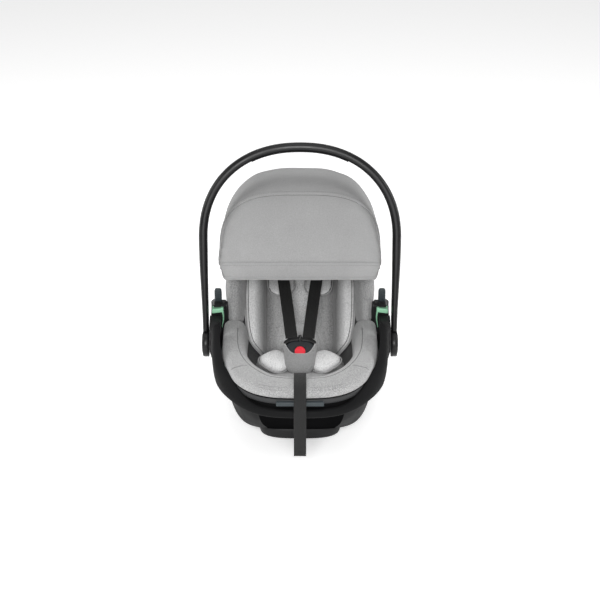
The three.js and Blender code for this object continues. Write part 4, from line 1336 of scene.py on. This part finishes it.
def bolsters():
    inner = 70
    rows, crest = [], []
    for t in [lerp(-14, 196, k) for k in steps(34)]:
        size = max(0.12, (bolster_outer(t) - inner) / 54)
        close = min(1.0, math.sqrt(max(0.0, (t + 18) / 40))) * min(1.0, math.sqrt(max(0.0, (202 - t) / 30)))
        size *= close
        width = (bolster_outer(t) - inner) * close
        high = 52 * (0.5 + 0.5 * size) * close
        row = []
        for across, up in [
            (0.03, 0.02), (0.0, 0.1), (0.1, 0.36), (0.21, 0.62), (0.33, 0.83), (0.47, 0.95),
            (0.65, 1.0), (0.84, 1.0), (0.95, 0.97), (1.0, 0.88), (1.01, 0.66), (1.0, 0.35),
            (0.96, 0.1), (0.88, 0.02), (0.5, 0.0),
        ]:
            row.append(place(*(BACK_FRAME @ Vector((inner + width * across, t, 1 + high * up)))))
        rows.append(row)
        crest.append(place(*(BACK_FRAME @ Vector((inner + width * 1.0, t, 1 + high * 0.9)))))
    # The bolster's colour carries painted shade on its inner side.
    made = skin("bolster_left", rows, "bolster_fabric_painted_shade")
    swell(made, cap=5, voxel=5, pins=crest[2:-2], pin_reach=4)
    both(made, "bolster", "root", "insert_fabric", "bolster")
    line = [p + (BACK_FRAME.to_3x3() @ Vector((0.4, 0, 1.2))) * MM for p in respaced(crest[1:-1], 90)]
    pipe = cord_line("bolster_piping_left", line, 1.5, "piping")
    both(pipe, "bolster_piping", "root", "insert_fabric")
    inner_line = [p + (BACK_FRAME.to_3x3() @ Vector((-7.5, 0, 3.2))) * MM for p in line[3:-3]]
    # Painted shadow: a dark cord for the shade in the bolster's seam.
    groove = cord_line("bolster_seam_left", inner_line, 0.7, "seam_shadow")
    both(groove, "bolster_seam", "root", "insert_fabric")
    route = []
    for t in (124, 130, 140, 155, 170):
        rise = 35 + 1.6 * smooth((t - 126) / 12)
        route.append(BACK_FRAME @ Vector((84 - 0.03 * (t - 120), t, rise)))
    tape, _path = webbing("bolster_loop", route, 30, 6, 1.0)
    tape.data.materials[0] = MATERIALS["thread"]
    finish_piece(tape, "root", "webbing")


def hip_pads():
    def leaf(turn):
        c, s = math.cos(turn), math.sin(turn)
        return 29 * c * (1 - 0.15 * s * s) + 5 * c**3, 34 * s * (1 - 0.22 * c)

    matrix = Matrix.Translation((54, -101, 174)) @ Matrix.Rotation(math.radians(14), 4, "X")
    matrix = matrix @ Matrix.Rotation(math.radians(-8), 4, "Y")
    made = pillow("hip_pad_left", leaf, matrix, 13, 11, "insert_fabric")
    seam = seam_of(leaf, matrix, -1.5)
    swell(made, cap=5, voxel=4, pins=seam, pin_reach=3.5)
    both(made, "hip_pad", "root", "insert_fabric", "hip_pad")
    pipe = cord_line("hip_pad_piping_left", seam_of(leaf, matrix, -1.5, 0.6), 1.4, "piping", loop=True)
    both(pipe, "hip_pad_piping", "root", "insert_fabric")


def lumbar_pad():
    def tapered(turn):
        x = power(math.cos(turn), 0.6)
        y = power(math.sin(turn), 0.6)
        return 40 * x * (1 - 0.12 * y), 38 * y

    matrix = BACK_FRAME @ Matrix.Translation((0, 42, 4))
    made = pillow("lumbar_pad", tapered, matrix, 10, 3, "pale_fabric")
    swell(made, cap=4, voxel=4, pins=seam_of(tapered, matrix), pin_reach=3.5)
    finish_piece(made, "root", "insert_fabric", "lumbar_pad")
    pipe = cord_line("lumbar_piping", seam_of(tapered, matrix, 1.0, 0.4), 1.3, "piping", loop=True)
    finish_piece(pipe, "root", "insert_fabric")


# ------------------------------------------------------------------ headrest
def headrest():
    """The pad's wings come forward at both sides."""
    rows = []
    for t in [lerp(238, 322, k) for k in steps(13)]:
        edge = min(1.0, math.sqrt(max(0.0, (t - 236) / 16))) * min(1.0, math.sqrt(max(0.0, (324 - t) / 16)))
        row = []
        for x, n in [
            (-75, 50), (-74, 22), (-66, 10), (-44, 7), (0, 6.4), (44, 7), (66, 10), (74, 22), (75, 50),
            (66, 54), (56, 48), (53, 34), (40, 29), (0, 28), (-40, 29), (-53, 34), (-56, 48), (-66, 54),
        ]:
            middle = 17 + 20 * smooth((abs(x) - 40) / 35)
            row.append(place(*(BACK_FRAME @ Vector((x * lerp(0.93, 1, edge), t, lerp(middle, n, edge))))))
        rows.append(row)
    made = skin("headrest_pad", rows, "insert_fabric")
    subdivide(made, 2)
    finish_piece(made, "headrest", "insert_fabric", "headrest_pad")


# ------------------------------------------------------------------ harness
BUCKLE_FRAME = Matrix((
    (1, 0, 0, 0),
    (0, math.sin(BUCKLE_LEAN), -math.cos(BUCKLE_LEAN), BUCKLE_Y),
    (0, math.cos(BUCKLE_LEAN), math.sin(BUCKLE_LEAN), BUCKLE_Z),
    (0, 0, 0, 1),
))


def webbing(name, points, count, width=WEB_WIDTH, thick=WEB_THICK):
    """A flat band along datum points, its width across the seat."""
    path = curve_through([place(*p) for p in points], count)
    half, t = width / 2, thick / 2
    section = [
        (-half, -t * 0.4), (-half + 0.5, -t), (-half * 0.5, -t), (half * 0.5, -t), (half - 0.5, -t),
        (half, -t * 0.4), (half, t * 0.4), (half - 0.5, t), (half * 0.5, t), (-half * 0.5, t),
        (-half + 0.5, t), (-half, t * 0.4),
    ]
    made = sweep(name, path, "webbing", lambda _t, _s: Vector((1, 0, 0)), lambda _s: section)
    return made, path


STRAP_FOOT = BUCKLE_FRAME @ Vector((18, 80, 8))
STRAP_TOP = BACK_FRAME @ Vector((44, 218, 16))


def harness():
    def on_way(t, dy, dz):
        return STRAP_FOOT.lerp(STRAP_TOP, t) + Vector((0, dy, dz))

    made, _path = webbing(
        "shoulder_strap_left",
        [
            STRAP_FOOT, on_way(0.25, -4, 8), on_way(0.6, -5, 11), on_way(0.88, -3, 6),
            BACK_FRAME @ Vector((45, 226, 8)), BACK_FRAME @ Vector((45, 229, 2)),
        ],
        90,
        26,
    )
    both(made, "shoulder_strap", "root", "webbing", "shoulder_strap")
    made, _path = webbing(
        "hip_strap_left",
        [
            BUCKLE_FRAME @ Vector((17, 74, -6.4)), BUCKLE_FRAME @ Vector((19, 60, -17)),
            BUCKLE_FRAME @ Vector((24, 30, -20)), SEAT_FRAME @ Vector((25, -84, 2.4)),
            SEAT_FRAME @ Vector((27, -60, 1.6)),
        ],
        50,
        22,
    )
    both(made, "hip_strap", "root", "webbing", "hip_strap")
    made, _path = webbing(
        "crotch_strap", [BUCKLE_FRAME @ Vector((0, y, 0)) for y in (-4, 6, 16, 29)], 12, 25, 1.8
    )
    finish_piece(made, "root", "webbing", "crotch_strap")

    middle = STRAP_FOOT.lerp(STRAP_TOP, 0.75) + Vector((4, 0, 0))
    along = (STRAP_TOP - STRAP_FOOT).normalized()
    normal = Vector((1, 0, 0)).cross(along).normalized()
    across = along.cross(normal)
    middle += normal * -9
    matrix = Matrix((
        (across.x, along.x, normal.x, middle.x),
        (across.y, along.y, normal.y, middle.y),
        (across.z, along.z, normal.z, middle.z),
        (0, 0, 0, 1),
    ))

    def lobe(turn):
        return 30 * power(math.cos(turn), 0.75), -2 + 36 * power(math.sin(turn), 0.75)

    pad = pillow("shoulder_pad_left", lobe, matrix, 7, 6, "insert_fabric")
    swell(pad, cap=4, voxel=4, pins=seam_of(lobe, matrix), pin_reach=3.5)
    both(pad, "shoulder_pad", "root", "insert_fabric", "shoulder_pad")
    pipe = cord_line("shoulder_pad_piping_left", seam_of(lobe, matrix, 0, 0.4), 1.2, "piping", loop=True)
    both(pipe, "shoulder_pad_piping", "root", "insert_fabric")


def buckle_outline():
    """The buckle's face: a narrow foot and a domed top."""
    right = [(16.5, 30), (24.6, 36), (28.5, 46), (30, 60), (28, 67), (22, 71.5), (12, 74.5)]
    return right + [(-x, y) for x, y in reversed(right)]


def about_button(profile):
    """Rings round the red button's axis, from (radius, height) pairs."""
    rows = []
    for radius, z in profile:
        ring = []
        for i in range(48):
            turn = 2 * math.pi * i / 48
            spot = Vector((radius * math.cos(turn), RED_AT + radius * math.sin(turn), z))
            ring.append(place(*(BUCKLE_FRAME @ spot)))
        rows.append(ring)
    return rows


def buckle():
    outline = rounded_outline(buckle_outline(), 5)
    body = slab("buckle_body", outline, -8, 6.5, BUCKLE_FRAME, "buckle_plastic", 2.4, 4)
    finish_piece(body, "root", "shell_plastic", "buckle_body")
    rim = about_button([(14.5, 6), (14.3, 7.4), (13.2, 8.2), (12.2, 8.0), (11.9, 6.4), (11.9, 2)])
    rim = skin("buckle_collar", rim, "buckle_plastic", caps=False)
    thicken(rim, 0.4)
    finish_piece(rim, "root", "shell_plastic")
    face = about_button(
        [(10.9, 2.8), (11.3, 4), (11.4, 8.6), (11.0, 9.6), (9.6, 10.1), (5, 10.3), (0.6, 10.35)]
    )
    finish_piece(skin("buckle_button", face, "red_plastic"), "buckle_button", "red_plastic", "buckle_button")

    bar = [
        (0.3, 75), (10, 74.5), (22, 71.5), (31, 66), (34.5, 68), (34.5, 73), (27, 79), (14, 82),
        (3.6, 82.6), (3.2, 88), (0.3, 88),
    ]
    bar = rounded_outline(bar, 2.5)
    plate = slab("buckle_tongue_left", bar, -3.6, 7.6, BUCKLE_FRAME, "gloss_black", 1.4)
    both(plate, "buckle_tongue", "root", "shell_plastic", "buckle_tongue")


def pouch():
    """The padded sleeve that the buckle stands in, open at the top and dipped in front."""

    def half_at(y):
        return 9 + 21.5 * math.sqrt(min(1.0, y / 22)) + 4 * smooth((y - 20) / 54)

    rows = []
    for k in steps(31):
        row = []
        for i in range(72):
            turn = 2 * math.pi * i / 72
            c, s = math.cos(turn), math.sin(turn)
            top = 41.4 + 32.6 * abs(c) ** 3.4 if s > 0 else 74 - 15 * abs(s)
            y = top * lerp(0.02, 1, k)
            depth = (13.5 if s > 0 else 12.0) * (0.55 + 0.45 * math.sqrt(min(1.0, y / 20)))
            spot = Vector((half_at(y) * power(c, 0.85), y, depth * power(s, 0.75)))
            row.append(place(*(BUCKLE_FRAME @ spot)))
        rows.append(row)
    middle = place(*(BUCKLE_FRAME @ Vector((0, 0.5, 0))))
    floor = []
    for share in (0.05, 0.6):
        floor.append([middle.lerp(p, share) for p in rows[0]])
    cup = skin("buckle_pouch", floor + rows, "pouch_fabric", caps=False)
    thicken(cup, 1.8)
    finish_piece(cup, "root", "cover_fabric", "buckle_pouch")
    pipe = cord_line("pouch_piping", rows[-1], 1.4, "piping", loop=True)
    finish_piece(pipe, "root", "cover_fabric")


ADJUSTER_FRAME = Matrix.Translation((0, -226, 186.5)) @ Matrix.Rotation(SEAT_ANGLE, 4, "X")
STRAP_ROUTE = [
    (-222, 200), (-232, 211), (-246, 221), (-262, 226), (-284, 227.2), (-304, 226.2),
    (-318, 222), (-328, 213), (-333.5, 203), (-336.4, 190), (-337.2, 175), (-337.4, 155),
    (-337.4, 130), (-337.4, 105), (-337.4, 80),
]


def adjuster():
    made, path = webbing("adjuster_strap", [(0, y, z) for y, z in STRAP_ROUTE], 90)
    finish_piece(made, "root", "webbing", "adjuster_strap")
    round(length_of(path), 3)
    plan = rounded_outline([(-21, -14), (-21, 14), (21, 14), (21, -14)], 5)
    slot_plan = slab("adjuster_surround", plan, -1.5, 2.2, ADJUSTER_FRAME, "trim_plastic", 1)
    finish_piece(slot_plan, "root", "shell_plastic")


def recline_button():
    plan = rounded_outline([(-48, -331.5), (-48, -322), (48, -322), (48, -331.5)], 2.5)
    made = slab("recline_button", plan, 190, 198.5, Matrix(), "slate_plastic", 1.6)
    finish_piece(made, "recline_button", "slate_plastic", "recline_button")


# ------------------------------------------------------------------ carried-over nodes
def close_copy(name, look):
    """A CAD node's own shape as a piece of this scene, to be refined."""
    node = frame["nodes"][name]
    made = bpy.data.objects.new(name + "_fine", node.data.copy())
    bpy.context.scene.collection.objects.link(made)
    made.data.transform(node.matrix_world)
    made.data.materials.clear()
    made.data.materials.append(MATERIALS[look])
    return made


def lock_springs():
    """The springs: their CAD nodes' shapes copied in steel and smoothly shaded."""
    for hand, sign in (("left", 1), ("right", -1)):
        made = close_copy(f"lock_spring_{hand}", "steel")
        made.data.shade_smooth()
        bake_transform(made)
        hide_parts(f"lock_spring_{hand}")


def travel_latches():
    """The hooks lie just inside the housings' tapered outer faces."""
    for hand, sign in (("left", 1), ("right", -1)):
        made = close_copy(f"travel_latch_{hand}", "steel")
        for vertex in made.data.vertices:
            vertex.co.x -= sign * 9 * MM
        round_edges(made, 0.8, 2)
        finish_piece(made, f"travel_latch_{hand}", "steel", f"travel_latch_{hand}")


def headrest_shell():
    """The shell's top edge stays behind the pad, so it clears the head cover when raised."""
    made = close_copy("headrest_shell", "shell_plastic")
    into = BACK_FRAME.inverted()
    shift = Vector((0, SHIFT_Y, 0))
    for vertex in made.data.vertices:
        spot = into @ (vertex.co / MM - shift)
        spot.y = min(spot.y, 295 + (spot.y - 295) * 0.4)
        vertex.co = place(*(BACK_FRAME @ spot))
    round_edges(made, 1.2, 2)
    finish_piece(made, "headrest", "shell_plastic", "headrest_shell")


def keep_nodes():
    """CAD nodes whose shape is right: softened edges and their finish."""
    looks = {
        "foam_liner": "liner_foam", "base_bar_front": "steel", "base_bar_rear": "steel",
        "handle_axle_left": "steel", "handle_axle_right": "steel",
        "lock_gear_left": "steel", "lock_gear_right": "steel",
        "canopy_mid_hoop": "steel", "canopy_front_hoop": "steel",
        "adjuster_housing": "shell_plastic", "adjuster_lever": "steel",
        "shoulder_belt_guide": "mint_plastic",
    }
    rounded = {"adjuster_housing": 0.8, "shoulder_belt_guide": 1.4}
    for name, look in looks.items():
        node = frame["nodes"][name]
        node.data.materials.clear()
        node.data.materials.append(MATERIALS[look])
        if name in rounded:
            round_edges(node, rounded[name], 2)
        elif name.startswith(("base_bar", "handle_axle", "canopy_")):
            node.data.shade_smooth()


adjuster()
shell()
rim_trim()
bumper_band()
base_foot()
hub_housings()
belt_guides()
release_levers()
handle()
canopy()
covers()
lining()
back_pad()
seat_pad()
bolsters()
hip_pads()
lumbar_pad()
headrest()
harness()
buckle()
pouch()
recline_button()
lock_springs()
travel_latches()
headrest_shell()
keep_nodes()
